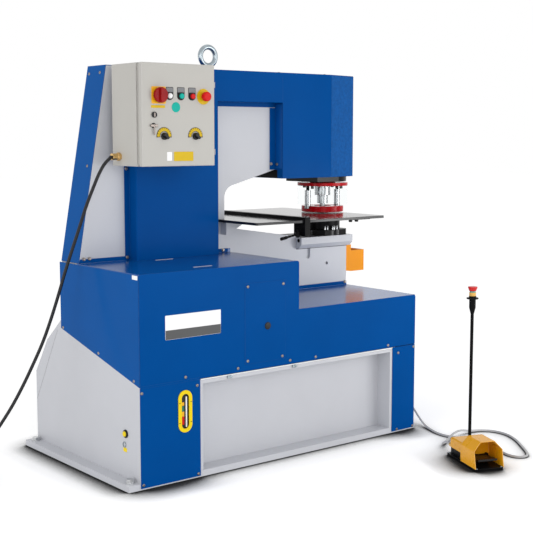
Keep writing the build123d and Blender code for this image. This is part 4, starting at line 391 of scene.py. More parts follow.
GAUGE_TUBE_PROFILE = [(2, 224), (3.4, 226), (3.4, 349), (2, 351)]

# Bolts of the tooling, table and frame; a socket bolt has a radius and a height
HOLDER_BOLTS = 18
HOLDER_START = -123.3
HOLDER_CIRCLE = 97
HOLDER_HEAD = 27
HOLDER_BOLT = (12, HOLDER_HEAD)
STUD_TURNS = [-123.3, -116.1, -99.6, -93.4, -83.3]
STUD_PROFILE = [(4.5, 0), (4.5, 20), (3.5, 22)]
STRIPPER_BOLT_TURNS = [-70, -160, 20, 110]
STRIPPER_CIRCLE = 105
STRIPPER_BOLT = (8, 14)
TABLE_KNOBS = [(602, -200), (641, -200)]
KNOB_PROFILE = [(6, 0), (6, 6), (9, 7.5), (9, 15), (7.5, 17)]
TABLE_STRIP = (642, -225, TABLE_LOW_Z)
TABLE_STRIP_SIZE = (112, 24, 5)
# Black marks of painted shade: the bolster's end hole and the shadow line under the bolster
BOLSTER_HOLE = (BOLSTER_LEFT_X, 22, 895)
BOLSTER_HOLE_RING = (9, 6, 1.5)
BOLSTER_HOLE_SHADE = [(6.2, 0), (6.2, 0.6)]
BOLSTER_SHADOW_LINE = (633.5, PLATE_FACE_Y, 852.5)
BOLSTER_SHADOW_LINE_SIZE = (337, 4, 0.6, 1, FINE_EDGE)
FLANGE_BOLTS = [(-502, 1263), (303, 1271)]
SKIRT_BOLTS = [(786, 665), (16, 876), (-502, 877), (-717, 883), (-690, 883)]

# Controls on the door; an arc has two radii, two ends in degrees and a thickness
SWITCH_PLATE = (-519, DOOR_FACE_Y, 1569)
SWITCH_PLATE_SIZE = (70, 70, 1.5, 5)
DOOR_STRIP = (-522, DOOR_FACE_Y, 1522.5)
DOOR_STRIP_SIZE = (68, 11, 1)
DOOR_YELLOW_PLATE = (-397, DOOR_FACE_Y, 1318.5)
DOOR_YELLOW_SIZE = (98, 39, 1, 3)
DOOR_WHITE_PLATE = (-468, DOOR_FACE_Y, 1319)
DOOR_WHITE_SIZE = (24, 36, 1)
ESTOP_DISC = (-295, DOOR_FACE_Y, 1567)
ESTOP_PROFILE = [(33, 0), (33, 1.4), (32.2, 2)]
GREEN_DISC = (-434, DOOR_FACE_Y, 1521)
GREEN_PROFILE = [(21, 0), (21, 0.9), (20.4, 1.4)]
LEGEND_XS = [-465, -409, -353]
LEGEND_Z = 1576.5
LEGEND_THICK = 1.2
LEGEND_SIZE = (37, 53, LEGEND_THICK, 4, PLATE_EDGE, 17)
LEGEND_FACE_Y = DOOR_FACE_Y - LEGEND_THICK
LEGEND_PLATE_Z = 1591.5
LEGEND_PLATE_SIZE = (33, 19, 0.6, 3, FINE_EDGE)
BUTTON_Z = 1567
BUTTON_RING = (15.5, 12, 5)
LAMP_PROFILE = [(11.5, 0), (11.5, 5), (10, 8.5), (7, 10.5), (3, 11.4)]
SELECTOR_XS = [-494, -337]
SELECTOR_Z = 1402
DIAL_BACK = (19.5, 37, -9, 189, 1)
DIAL_FACE_Y = DOOR_FACE_Y - 1
DIAL_BAND = (21.5, 35, -5, 185, 0.8)
DIAL_TICKS = 11
DIAL_TICK_RADII = (29, 35)
DIAL_TICK_HALF = 1.6
DIAL_TICK_THICK = 2.1
KEY_PLACE = (-545, DOOR_FACE_Y, 1445)
KEY_COLLAR = [(11, 0), (11, 2), (9.5, 3.5), (6, 4)]
KEY_WING = (-545, DOOR_FACE_Y - 4, 1445)
KEY_WING_SIZE = (36, 11, 5, 5, 1.5)
KEY_STEM = (-545, DOOR_FACE_Y - 7, 1445)
KEY_STEM_PROFILE = [(3, 0), (3, 36), (2.2, 38)]
LOCK_FACE = (-542, DOOR_FACE_Y - 6.3, 1489)
LOCK_BIT_SIZE = (5, 17, 1.2, 1.5)

# Blocks behind the controls
DOOR_INNER_Y = -248
BUTTON_BLOCK = (34, 46, 42)
SWITCH_BLOCK = (58, 58, 44)
BLOCK_HOLLOW = 20
BLOCK_WALL = 4
BLOCK_CORNER = 3
BLOCK_INNER_CORNER = 2
BLOCK_BREAK = 1
BLOCK_SCREW = 3
BLOCK_SCREW_PLACE = (1 / 4, 1 / 3)

# Inside the cabinet; a device has a kind, a place across and up, a width, a height and a depth
BACK_PLATE = (-418.5, -24, 1489)
BACK_PLATE_SIZE = (316, 378, 2, 4)
RAIL_ZS = [1600, 1448]
RAIL_SIZE = (296, 35, 7)
RAIL_FACE_Y = -26
DEVICE_FACE_Y = -33
DUCT_ZS = [1672, 1524, 1372]
DUCT_SIZE = (300, 26, 48, 2, 1)
DEVICES = [
    ("breaker", -532, 1600, 54, 88, 66),
    ("contactors", -470, 1600, 46, 80, 78),
    ("contactors", -420, 1600, 46, 80, 78),
    ("relays", -372, 1600, 24, 76, 62),
    ("relays", -345, 1600, 24, 76, 62),
    ("relays", -318, 1600, 24, 76, 62),
    ("breaker", -288, 1600, 18, 84, 60),
    ("transformer", -510, 1448, 92, 82, 84),
]
DEVICE_LOOKS = {
    "breaker": "white_plastic",
    "contactors": "black_plastic",
    "relays": "label_grey",
    "transformer": "cast_iron",
}
DEVICE_STEP = 0.7
DEVICE_MIDDLE = 0.62
DEVICE_CORNER = 2
DEVICE_BREAK = 1
DEVICE_SCREW = 3
DEVICE_SCREW_PLACE = (0.28, 0.41)
DEVICE_SCREW_LIFT = 0.2
TERMINALS = 20
TERMINAL_START_X = -440
TERMINAL_STEP = 8.2
TERMINAL_SIZE = (7.6, 44, 40)
EARTH_EVERY = 6

# Pedal
PEDAL_BASE_TOP_Z = 12
PEDAL_SCREWS = [(-58, 8), (58, 8), (-59, 266), (59, 266)]
PEDAL_SCREW = 5


def mm(*point):
    return Vector(point) * MM


def add_object(name, data):
    thing = bpy.data.objects.new(name, data)
    bpy.context.scene.collection.objects.link(thing)
    return thing


def empty_tree(owner):
    owner.use_nodes = True
    owner.node_tree.nodes.clear()
    return owner.node_tree


def set_values(node, values):
    for name, value in values.items():
        node.inputs[name].default_value = value


def new_material(name, values):
    material = bpy.data.materials.new(name)
    material.use_nodes = True
    shader = material.node_tree.nodes["Principled BSDF"]
    set_values(shader, values)
    return material, material.node_tree, shader


def add_node(tree, kind, values=None, links=None):
    """A new node with values on its own sockets and other nodes' outputs joined to them."""
    node = tree.nodes.new(kind)
    set_values(node, values or {})
    for name, output in (links or {}).items():
        tree.links.new(output, node.inputs[name])
    return node


def noise(tree, scale, detail=2.0, stretch=(1, 1, 1)):
    place = add_node(tree, "ShaderNodeTexCoord")
    mapping = add_node(tree, "ShaderNodeMapping", {"Scale": stretch}, {"Vector": place.outputs["Object"]})
    size = {"Scale": scale, "Detail": detail}
    texture = add_node(tree, "ShaderNodeTexNoise", size, {"Vector": mapping.outputs["Vector"]})
    return texture.outputs["Fac"]


def ramp(tree, value, low, high, first, last):
    node = add_node(tree, "ShaderNodeValToRGB", links={"Fac": value})
    for stop, place, colour in zip(node.color_ramp.elements, (low, high), (first, last)):
        stop.position = place
        stop.color = (*colour, 1)
    return node.outputs["Color"]


def shade(colour, factor):
    return tuple(min(c * factor, 1.0) for c in colour)


def paler(colour, share):
    return tuple(c + (1 - c) * share for c in colour)


def blend_colours(tree, mask, first, last):
    mix = tree.nodes.new("ShaderNodeMix")
    mix.data_type = "RGBA"
    tree.links.new(mask, mix.inputs["Factor"])
    tree.links.new(first, mix.inputs["A"])
    mix.inputs["B"].default_value = (*last, 1)
    return mix.outputs["Result"]


def rounded_edges(tree, radius):
    node = add_node(tree, "ShaderNodeBevel", {"Radius": radius})
    node.samples = BEVEL_SAMPLES
    return node.outputs["Normal"]


def edge_mask(tree, normal, strength):
    """High along the edges, where the rounded normal leaves the face's own."""
    flat = add_node(tree, "ShaderNodeNewGeometry")
    turn = add_node(tree, "ShaderNodeVectorMath", links={0: normal, 1: flat.outputs["True Normal"]})
    turn.operation = "DOT_PRODUCT"
    limits = {"From Min": EDGE_FLAT, "From Max": EDGE_TURNED, "To Max": strength}
    mask = add_node(tree, "ShaderNodeMapRange", limits, {"Value": turn.outputs["Value"]})
    return mask.outputs["Result"]


def finish_shader(tree, shader, tone, normal, rough=0.4, rough_spread=0.06, grain=900.0, bump=0.1,
                  depth=0.0002, patch=6.0, stretch=(1, 1, 1)):
    """Colour, patchy roughness and a fine grain on rounded edges."""
    tree.links.new(tone, shader.inputs["Base Color"])
    limits = {"To Min": max(rough - rough_spread, LEAST_ROUGH), "To Max": rough + rough_spread}
    patches = noise(tree, patch * ROUGH_PATCHES, stretch=stretch)
    rough_map = add_node(tree, "ShaderNodeMapRange", limits, {"Value": patches})
    tree.links.new(rough_map.outputs["Result"], shader.inputs["Roughness"])
    inputs = {"Height": noise(tree, grain, stretch=stretch), "Normal": normal}
    grain_bump = add_node(tree, "ShaderNodeBump", {"Strength": bump, "Distance": depth}, inputs)
    tree.links.new(grain_bump.outputs["Normal"], shader.inputs["Normal"])


def surface(name, colour, metal=0.0, specular=0.5, spread=0.06, patch=6.0, edge=0.0015, edge_highlight=0.3, highlight_lift=0.35,
            **finish):
    """A finish with fine grain, soft patches of tone and edges made paler by a painted highlight."""
    material, tree, shader = new_material(name, {"Metallic": metal, "Specular IOR Level": specular})
    patches = noise(tree, patch, PATCH_DETAIL)
    tone = ramp(tree, patches, *PATCH_TONES, shade(colour, 1 - spread), shade(colour, 1 + spread))
    normal = rounded_edges(tree, edge)
    tone = blend_colours(tree, edge_mask(tree, normal, edge_highlight), tone, paler(colour, highlight_lift))
    finish_shader(tree, shader, tone, normal, patch=patch, **finish)
    return material


def banded(name, height, below, above, rough, specular, edge=0.001):
    """A moulded finish that changes colour at one height of the node at rest."""
    material, tree, shader = new_material(name, {"Specular IOR Level": specular})
    place = add_node(tree, "ShaderNodeTexCoord")
    axes = add_node(tree, "ShaderNodeSeparateXYZ", links={"Vector": place.outputs["Object"]})
    limits = {"From Min": (height - BAND_BLUR) * MM, "From Max": (height + BAND_BLUR) * MM}
    step = add_node(tree, "ShaderNodeMapRange", limits, {"Value": axes.outputs["Z"]})
    tone = ramp(tree, step.outputs["Result"], 0.0, 1.0, below, above)
    normal = rounded_edges(tree, edge)
    finish_shader(tree, shader, tone, normal, rough, rough_spread=0.04, bump=0.05, patch=8.0)
    return material


def clear_material(name, colour, rough, ior):
    values = {"Base Color": (*colour, 1), "Transmission Weight": 1.0, "IOR": ior}
    material, tree, shader = new_material(name, values)
    limits = {"To Min": rough, "To Max": rough + HAZE_SPREAD}
    haze = add_node(tree, "ShaderNodeMapRange", limits, {"Value": noise(tree, HAZE_SCALE)})
    tree.links.new(haze.outputs["Result"], shader.inputs["Roughness"])
    return material


MATERIALS = {name: surface(name, **look) for name, look in LOOKS.items()}
MATERIALS["button_head"] = banded("button_head", BUTTON_BAND_Z, TEAL, RED, rough=0.24, specular=0.35)
MATERIALS["clear"] = clear_material("clear", CLEAR, rough=0.01, ior=1.06)


def dress_nodes():
    for material, names in FINISHES.items():
        for name in names:
            mesh = NODES[name].data
            mesh.materials.clear()
            mesh.materials.append(MATERIALS[material])


def on_face(face, x, y, z, turn=0):
    """A place on a face: x across it, y up it and z out of it."""
    across = Vector(FACES[face][0])
    up = Vector(FACES[face][1])
    place = Matrix((across, up, across.cross(up))).transposed().to_4x4()
    place.translation = (x, y, z)
    return place @ Matrix.Rotation(math.radians(turn), 4, "Z")


def circle(radius, level, steps=ROUND_STEPS):
    points = []
    for i in range(steps):
        angle = 2 * math.pi * i / steps
        points.append(Vector((radius * math.cos(angle), radius * math.sin(angle), level)))
    return points


def hexagon(flats, level, steps=ROUND_STEPS):
    """A hexagon with as many points as a circle, so that a loft can join the two."""
    points = []
    for i in range(steps):
        angle = 2 * math.pi * i / steps
        off_middle = (angle + math.pi / 6) % (math.pi / 3) - math.pi / 6
        reach = flats / 2 / math.cos(off_middle)
        points.append(Vector((reach * math.cos(angle), reach * math.sin(angle), level)))
    return points


def rounded(width, height, radius, level, low_radius=None, steps=CORNER_STEPS):
    """A rectangle with rounded corners, and other corners at its lower end where they are given."""
    low = low_radius or radius
    corners = [(1, 1, radius, 0), (-1, 1, radius, 90), (-1, -1, low, 180), (1, -1, low, 270)]
    points = []
    for side, end, corner, start in corners:
        x = side * (width / 2 - corner)
        y = end * (height / 2 - corner)
        for i in range(steps + 1):
            angle = math.radians(start + 90 * i / steps)
            points.append(Vector((x + corner * math.cos(angle), y + corner * math.sin(angle), level)))
    return points


def loft(group, rings, place, closed=False):
    """Quads between rings of points, with end caps unless the rings run round to the first."""
    rows = []
    for ring in rings:
        rows.append([group.verts.new(place @ point) for point in ring])
    pairs = list(zip(rows, rows[1:]))
    if closed:
        pairs.append((rows[-1], rows[0]))
    for low, high in pairs:
        for i in range(len(low)):
            j = (i + 1) % len(low)
            group.faces.new((low[i], low[j], high[j], high[i]))
    if not closed:
        group.faces.new(rows[0][::-1])
        group.faces.new(rows[-1])


def lathe(group, place, profile, steps=ROUND_STEPS):
    loft(group, [circle(radius, level, steps) for radius, level in profile], place)


def plate(group, place, width, height, thick, radius=PLATE_CORNER, edge=PLATE_EDGE, low_radius=None):
    """A thin plate with rounded corners and a broken edge."""
    low = (low_radius or radius) - edge
    rings = [
        rounded(width, height, radius, 0, low_radius),
        rounded(width, height, radius, thick - edge, low_radius),
        rounded(width - 2 * edge, height - 2 * edge, radius - edge, thick, low),
    ]
    loft(group, rings, place)


def ring(group, place, outer, inner, thick, edge=RING_EDGE):
    top = thick - edge
    section = [
        (outer, 0), (outer, top), (outer - edge, thick), (inner + edge, thick), (inner, top), (inner, 0),
    ]
    loft(group, [circle(radius, level, RING_STEPS) for radius, level in section], place, closed=True)


def frame_ring(group, place, width, height, radius, band, thick, edge=FRAME_EDGE):
    """A flat frame with rounded corners, band wide."""
    top = thick - edge
    section = [(0, 0), (0, top), (edge, thick), (band - edge, thick), (band, top), (band, 0)]
    rings = []
    for inset, level in section:
        rings.append(rounded(width - 2 * inset, height - 2 * inset, radius - inset, level))
    loft(group, rings, place, closed=True)


def arc_band(group, place, inner, outer, start, end, thick, steps=ARC_STEPS):
    sections = []
    for i in range(steps + 1):
        angle = math.radians(start + (end - start) * i / steps)
        out = Vector((math.cos(angle), math.sin(angle), 0))
        lift = Vector((0, 0, thick))
        sections.append([out * inner, out * outer, out * outer + lift, out * inner + lift])
    loft(group, sections, place)


def sheet(group, place, points, thick):
    """A flat piece of the given outline."""
    low = [Vector((x, y, 0)) for x, y in points]
    high = [Vector((x, y, thick)) for x, y in points]
    loft(group, [low, high], place)


def screw(group, place, radius=SCREW_RADIUS):
    """A button head with a hexagon socket."""
    rings = [circle(radius * reach, radius * level) for reach, level in SCREW_PROFILE]
    flats, floor = SCREW_SOCKET
    top = SCREW_PROFILE[-1][1]
    rings.append(hexagon(flats * radius, top * radius))
    rings.append(hexagon(flats * radius, floor * radius))
    loft(group, rings, place)


def bolt(group, place):
    """A hexagon head with a broken top edge, on its washer."""
    washer = BOLT_WASHER / 2
    low = BOLT_WASHER_THICK
    lathe(group, place, [(washer, 0), (washer, low - WASHER_BREAK), (washer - WASHER_BREAK, low)])
    rings = [
        hexagon(BOLT_FLATS, low),
        hexagon(BOLT_FLATS, low + BOLT_HEAD - BOLT_BREAK),
        hexagon(BOLT_FLATS - 2 * BOLT_BREAK, low + BOLT_HEAD),
    ]
    loft(group, rings, place)


def socket_bolt(group, place, radius, height):
    """A round head with a broken edge and a hexagon socket."""
    rings = [
        circle(radius, 0), circle(radius, height - SOCKET_BREAK), circle(radius - SOCKET_BREAK, height),
        hexagon(radius, height), hexagon(radius, height / 2),
    ]
    loft(group, rings, place)


def add_piece(name, group, look, body="machine"):
    bmesh.ops.recalc_face_normals(group, faces=group.faces)
    bmesh.ops.transform(group, matrix=Matrix.Scale(MM, 4), verts=group.verts)
    mesh = bpy.data.meshes.new(name)
    group.to_mesh(mesh)
    group.free()
    for face in mesh.polygons:
        face.use_smooth = True
    mesh.set_sharp_from_angle(angle=math.radians(SMOOTH_ANGLE))
    piece = add_object(name, mesh)
    mesh.materials.append(MATERIALS[look])
    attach(piece, body)
    return piece


def single(name, look, make, *shape, body="machine", slot=None):
    """A piece of one shape: the function that makes it, and what that takes."""
    group = bmesh.new()
    make(group, *shape)
    return add_piece(name, group, look, body)


def node_box(node):
    low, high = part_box(node)
    return Vector(low) / MM, Vector(high) / MM


def make_fasteners():
    group = bmesh.new()
    for x, z in FRONT_SCREWS:
        screw(group, on_face("front", x, FRONT_FACE_Y, z))
    for x, z in PANEL_SCREWS:
        screw(group, on_face("front", x, FRONT_FACE_Y - PANEL_THICK, z))
    for y, z in LEFT_SCREWS:
        screw(group, on_face("left", LEFT_FACE_X, y, z))
    right_x = node_box("right_end_panel")[1].x
    for y, z in RIGHT_SCREWS:
        screw(group, on_face("right", right_x, y, z))
    for x, y, z in EDGE_SCREWS:
        tilt = Matrix.Rotation(-math.radians(EDGE_LEAN), 4, "X")
        screw(group, on_face("left", x, y, z) @ tilt)
    low, high = node_box("rear_cover")
    for x in (low.x + COVER_INSET, (low.x + high.x) / 2, high.x - COVER_INSET):
        for z in REAR_SCREW_ZS:
            screw(group, on_face("back", x, high.y, z))
    add_piece("cover_screws", group, "screw_steel")


def make_front():
    single("access_panel", "blue_paint", plate, on_face("front", *PANEL_CENTRE), *PANEL_SIZE)
    single("panel_plug", "black_plastic", lathe, on_face("front", *PLUG_PLACE), PLUG_PROFILE)
    single("bare_plate", "white_plastic", plate, on_face("front", *BARE_PLATE), *BARE_PLATE_SIZE)
    single("bare_plate_band", "plate_grey", plate, on_face("front", *BARE_BAND), *BARE_BAND_SIZE)
    single("side_plate", "white_plastic", plate, on_face("left", *SIDE_PLATE), *SIDE_PLATE_SIZE)
    group = bmesh.new()
    for x, y, width, depth in TOP_STRIPS:
        plate(group, on_face("top", x, y, HIGH_TOP_Z), width, depth, TOP_STRIP_THICK, TOP_STRIP_CORNER)
    add_piece("top_strips", group, "pale_strip")
    # A white strip of painted highlight along the blue and grey edge
    single("seam_highlight_strip", "white_plastic", plate, on_face("front", *SEAM_HIGHLIGHT_CENTRE), *SEAM_HIGHLIGHT_SIZE)
    single("joint_cover", "blue_paint", plate, on_face("front", *JOINT_CENTRE), *JOINT_SIZE)
    group = bmesh.new()
    for x, z in RAIL_BRACKETS:
        plate(group, on_face("front", x, FRONT_FACE_Y, z), *RAIL_BRACKET_SIZE)
        screw(group, on_face("front", x, FRONT_FACE_Y - RAIL_BRACKET_THICK, z), RAIL_BRACKET_SCREW)
    add_piece("rail_brackets", group, "zinc")


def make_side():
    """The side panel's painted skin in a lighter blue of painted light, down over the sheet below, and the
    fold of that sheet as a darker strip of painted shade.
    """
    face = on_face("left", LEFT_FACE_X, 0, 0)
    # The skin's lighter blue is painted light on this side
    single("side_panel_skin", "blue_side_lit", sheet, face, SIDE_SKIN, SIDE_SKIN_THICK)
    # A darker strip of painted shade along the fold
    first, last = (Vector(end) for end in CREASE_ENDS)
    run = last - first
    middle = (first + last) / 2
    turn = math.degrees(math.atan2(run.y, -run.x))
    place = on_face("left", LEFT_FACE_X, middle.x, middle.y, turn)
    single("side_crease", "crease_shade_grey", plate, place, run.length, *CREASE_SECTION)


def make_skirts():
    """The painted faces of the top covers' upright flanges."""
    group = bmesh.new()
    for low, high, z in SKIRT_SKINS:
        top = z + SKIRT_SKIN_HEIGHT
        outline = [(low, z), (high, z), (high, top), (low, top)]
        sheet(group, on_face("front", 0, SKIRT_FACE_Y, 0), outline, SKIRT_SKIN_THICK)
    add_piece("skirt_skins", group, "blue_paint")


def make_head():
    """The head's lid with its screws, a black plate of painted shade below the frame, and lighter paint of
    painted light on wall and corner.
    """
    single("head_lid", "blue_paint", plate, on_face("top", *HEAD_LID), *HEAD_LID_SIZE)
    group = bmesh.new()
    x, y, z = HEAD_LID
    reach_x = HEAD_LID_SIZE[0] / 2 - HEAD_LID_INSET
    reach_y = HEAD_LID_SIZE[1] / 2 - HEAD_LID_INSET
    for side, end in CORNERS:
        screw(group, on_face("top", x + side * reach_x, y + end * reach_y, z + HEAD_LID_THICK))
    add_piece("head_lid_screws", group, "screw_steel")
    # A black plate of painted shade on the wall below the frame
    single("head_shade_plate", "black_steel", plate, on_face("left", *HEAD_SHADE_PLATE), *HEAD_SHADE_PLATE_SIZE)
    # A lighter blue skin, painted light, over the head's shaded left wall
    wall = on_face("left", HEAD_WALL_X, 0, 0)
    single("head_wall_skin", "blue_wall_lit", sheet, wall, HEAD_WALL_SKIN, HEAD_SKIN_THICK)
    # A lighter, speckled blue skin, painted sheen, over the head's corner
    corner = on_face("front", *HEAD_CORNER) @ Matrix.Rotation(math.radians(HEAD_CORNER_TURN), 4, "Y")
    single("head_corner_skin", "blue_corner_sheen", sheet, corner, HEAD_CORNER_SKIN, HEAD_SKIN_THICK)


def make_gusset():
    """The wedge that carries the table's inner end."""
    place = on_face("front", 0, GUSSET_BACK_Y, 0)
    gusset = single("table_gusset", "grey_paint", sheet, place, GUSSET_OUTLINE, GUSSET_DEPTH)
    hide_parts("table_support")


def make_drain():
    place = on_face("left", *DRAIN_PLACE)
    single("drain_collar", "black_plastic", lathe, place, DRAIN_COLLAR)
    group = bmesh.new()
    lathe(group, place, DRAIN_CAP)
    plate(group, on_face("left", *DRAIN_TAG), *DRAIN_TAG_SIZE)
    add_piece("drain_cap_and_tag", group, "yellow_plastic")
    single("drain_ring", "zinc", ring, on_face("left", *DRAIN_RING), *DRAIN_RING_SIZE)


def make_gauge():
    single("gauge_bezel", "yellow_plastic", frame_ring, on_face("front", *GAUGE_BEZEL), *GAUGE_BEZEL_SIZE)
    group = bmesh.new()
    plate(group, on_face("front", *GAUGE_BACK), *GAUGE_BACK_SIZE)
    for x, z in GAUGE_TICKS:
        plate(group, on_face("front", x, GAUGE_FACE_Y, z), *GAUGE_TICK_SIZE)
    add_piece("gauge_back", group, "black_plastic")
    for name, look, low, high in GAUGE_BANDS:
        size = (GAUGE_SCALE_WIDTH, high - low, GAUGE_SCALE_THICK, GAUGE_SCALE_CORNER)
        single(name, look, plate, on_face("front", *GAUGE_SCALE, (low + high) / 2), *size)
    tube = (on_face("top", *GAUGE_TUBE), GAUGE_TUBE_PROFILE)
    single("gauge_tube", "white_plastic", lathe, *tube, slot="clear")


def around_axis(face, turn, reach, z):
    """A place beside the punch's axis, facing up or down."""
    angle = math.radians(turn)
    return on_face(face, AXIS_X + reach * math.cos(angle), AXIS_Y + reach * math.sin(angle), z)


def make_punch_details():
    group = bmesh.new()
    for i in range(HOLDER_BOLTS):
        turn = HOLDER_START + 360 * i / HOLDER_BOLTS
        socket_bolt(group, around_axis("top", turn, HOLDER_CIRCLE, BOLSTER_TOP_Z), *HOLDER_BOLT)
    for turn in STRIPPER_BOLT_TURNS:
        socket_bolt(group, around_axis("below", turn, STRIPPER_CIRCLE, STRIPPER_LOW_Z), *STRIPPER_BOLT)
    add_piece("tool_bolts", group, "oiled_steel")
    group = bmesh.new()
    for turn in STUD_TURNS:
        lathe(group, around_axis("top", turn, HOLDER_CIRCLE, BOLSTER_TOP_Z + HOLDER_HEAD), STUD_PROFILE)
    add_piece("tool_studs", group, "bright_steel")
    group = bmesh.new()
    for x, y in TABLE_KNOBS:
        lathe(group, on_face("below", x, y, TABLE_LOW_Z), KNOB_PROFILE)
    plate(group, on_face("below", *TABLE_STRIP), *TABLE_STRIP_SIZE)
    add_piece("table_knobs", group, "black_plastic")
    # Painted shade: a black ring and disc in the bolster's end hole, and a black strip for the shadow under
    # the bolster
    group = bmesh.new()
    hole = on_face("left", *BOLSTER_HOLE)
    ring(group, hole, *BOLSTER_HOLE_RING)
    lathe(group, hole, BOLSTER_HOLE_SHADE)
    plate(group, on_face("front", *BOLSTER_SHADOW_LINE), *BOLSTER_SHADOW_LINE_SIZE)
    add_piece("bolster_shadow_gap", group, "black_steel")


def make_frame_bolts():
    group = bmesh.new()
    for x, z in FLANGE_BOLTS + SKIRT_BOLTS:
        bolt(group, on_face("front", x, COVER_FLANGE_Y, z))
    bolt(group, on_face("left", *HEAD_WALL_BOLT))
    add_piece("frame_bolts", group, "screw_steel")


def make_door_plates():
    place = on_face("front", *SWITCH_PLATE)
    single("switch_plate", "plate_orange", plate, place, *SWITCH_PLATE_SIZE, body="door")
    group = bmesh.new()
    plate(group, on_face("front", *DOOR_STRIP), *DOOR_STRIP_SIZE)
    plate(group, on_face("front", *DOOR_YELLOW_PLATE), *DOOR_YELLOW_SIZE)
    lathe(group, on_face("front", *ESTOP_DISC), ESTOP_PROFILE, DISC_STEPS)
    for x in SELECTOR_XS:
        arc_band(group, on_face("front", x, DIAL_FACE_Y, SELECTOR_Z), *DIAL_BAND)
    add_piece("door_yellow", group, "door_yellow", "door")


def make_door_controls():
    group = bmesh.new()
    for x in LEGEND_XS:
        plate(group, on_face("front", x, DOOR_FACE_Y, LEGEND_Z), *LEGEND_SIZE)
        ring(group, on_face("front", x, LEGEND_FACE_Y, BUTTON_Z), *BUTTON_RING)
    for x in SELECTOR_XS:
        place = on_face("front", x, DOOR_FACE_Y, SELECTOR_Z)
        arc_band(group, place, *DIAL_BACK)
        for i in range(DIAL_TICKS):
            turn = 180 * i / (DIAL_TICKS - 1)
            ends = (turn - DIAL_TICK_HALF, turn + DIAL_TICK_HALF)
            arc_band(group, place, *DIAL_TICK_RADII, *ends, DIAL_TICK_THICK, TICK_STEPS)
    lathe(group, on_face("front", *KEY_PLACE), KEY_COLLAR)
    add_piece("door_black", group, "black_plastic", "door")
    group = bmesh.new()
    for x in LEGEND_XS:
        plate(group, on_face("front", x, LEGEND_FACE_Y, LEGEND_PLATE_Z), *LEGEND_PLATE_SIZE)
    add_piece("legend_plates", group, "label_grey", "door")
    group = bmesh.new()
    lathe(group, on_face("front", LEGEND_XS[0], LEGEND_FACE_Y, BUTTON_Z), LAMP_PROFILE)
    plate(group, on_face("front", *DOOR_WHITE_PLATE), *DOOR_WHITE_SIZE)
    add_piece("lamp_and_plate", group, "white_plastic", "door")
    disc = (on_face("front", *GREEN_DISC), GREEN_PROFILE, RING_STEPS)
    single("green_disc", "green_plastic", lathe, *disc, body="door")
    group = bmesh.new()
    plate(group, on_face("front", *KEY_WING), *KEY_WING_SIZE)
    lathe(group, on_face("below", *KEY_STEM), KEY_STEM_PROFILE)
    add_piece("wing_key", group, "screw_steel", "door")
    single("lock_bit", "screw_steel", plate, on_face("front", *LOCK_FACE), *LOCK_BIT_SIZE, body="lock")


def block_screws(group, place, across, up, level, radius):
    """A screw in each corner of a block's face."""
    for side, end in CORNERS:
        screw(group, place @ Matrix.Translation((side * across, end * up, level)), radius)


def contact_block(group, x, z, width, height, depth):
    """A block behind a control, hollow where the control's stem moves."""
    inner = (width - 2 * BLOCK_WALL, height - 2 * BLOCK_WALL, BLOCK_INNER_CORNER)
    outer = (width, height, BLOCK_CORNER)
    face = (width - 2 * BLOCK_BREAK, height - 2 * BLOCK_BREAK, BLOCK_CORNER - BLOCK_BREAK)
    rings = [
        rounded(*inner, BLOCK_HOLLOW), rounded(*inner, 0), rounded(*outer, 0),
        rounded(*outer, depth - BLOCK_BREAK), rounded(*face, depth),
    ]
    place = on_face("back", x, DOOR_INNER_Y, z)
    loft(group, rings, place)
    across, up = BLOCK_SCREW_PLACE
    block_screws(group, place, width * across, height * up, depth, BLOCK_SCREW)


def make_door_contacts():
    group = bmesh.new()
    for x in LEGEND_XS + [ESTOP_DISC[0]]:
        contact_block(group, x, BUTTON_Z, *BUTTON_BLOCK)
    for x in SELECTOR_XS:
        contact_block(group, x, SELECTOR_Z, *BUTTON_BLOCK)
    contact_block(group, SWITCH_PLATE[0], SWITCH_PLATE[2], *SWITCH_BLOCK)
    add_piece("door_contacts", group, "black_plastic", "door")


def device(group, place, width, height, depth):
    """A moulded housing with a raised middle and four terminal screws."""
    step = depth * DEVICE_STEP
    middle = height * DEVICE_MIDDLE
    rings = [
        rounded(width, height, DEVICE_CORNER, 0),
        rounded(width, height, DEVICE_CORNER, step),
        rounded(width, middle, DEVICE_CORNER, step + DEVICE_BREAK),
        rounded(width, middle, DEVICE_CORNER, depth - DEVICE_BREAK),
        rounded(width - 2 * DEVICE_BREAK, middle - 2 * DEVICE_BREAK, DEVICE_CORNER - DEVICE_BREAK, depth),
    ]
    loft(group, rings, place)
    across, up = DEVICE_SCREW_PLACE
    block_screws(group, place, width * across, height * up, step + DEVICE_SCREW_LIFT, DEVICE_SCREW)


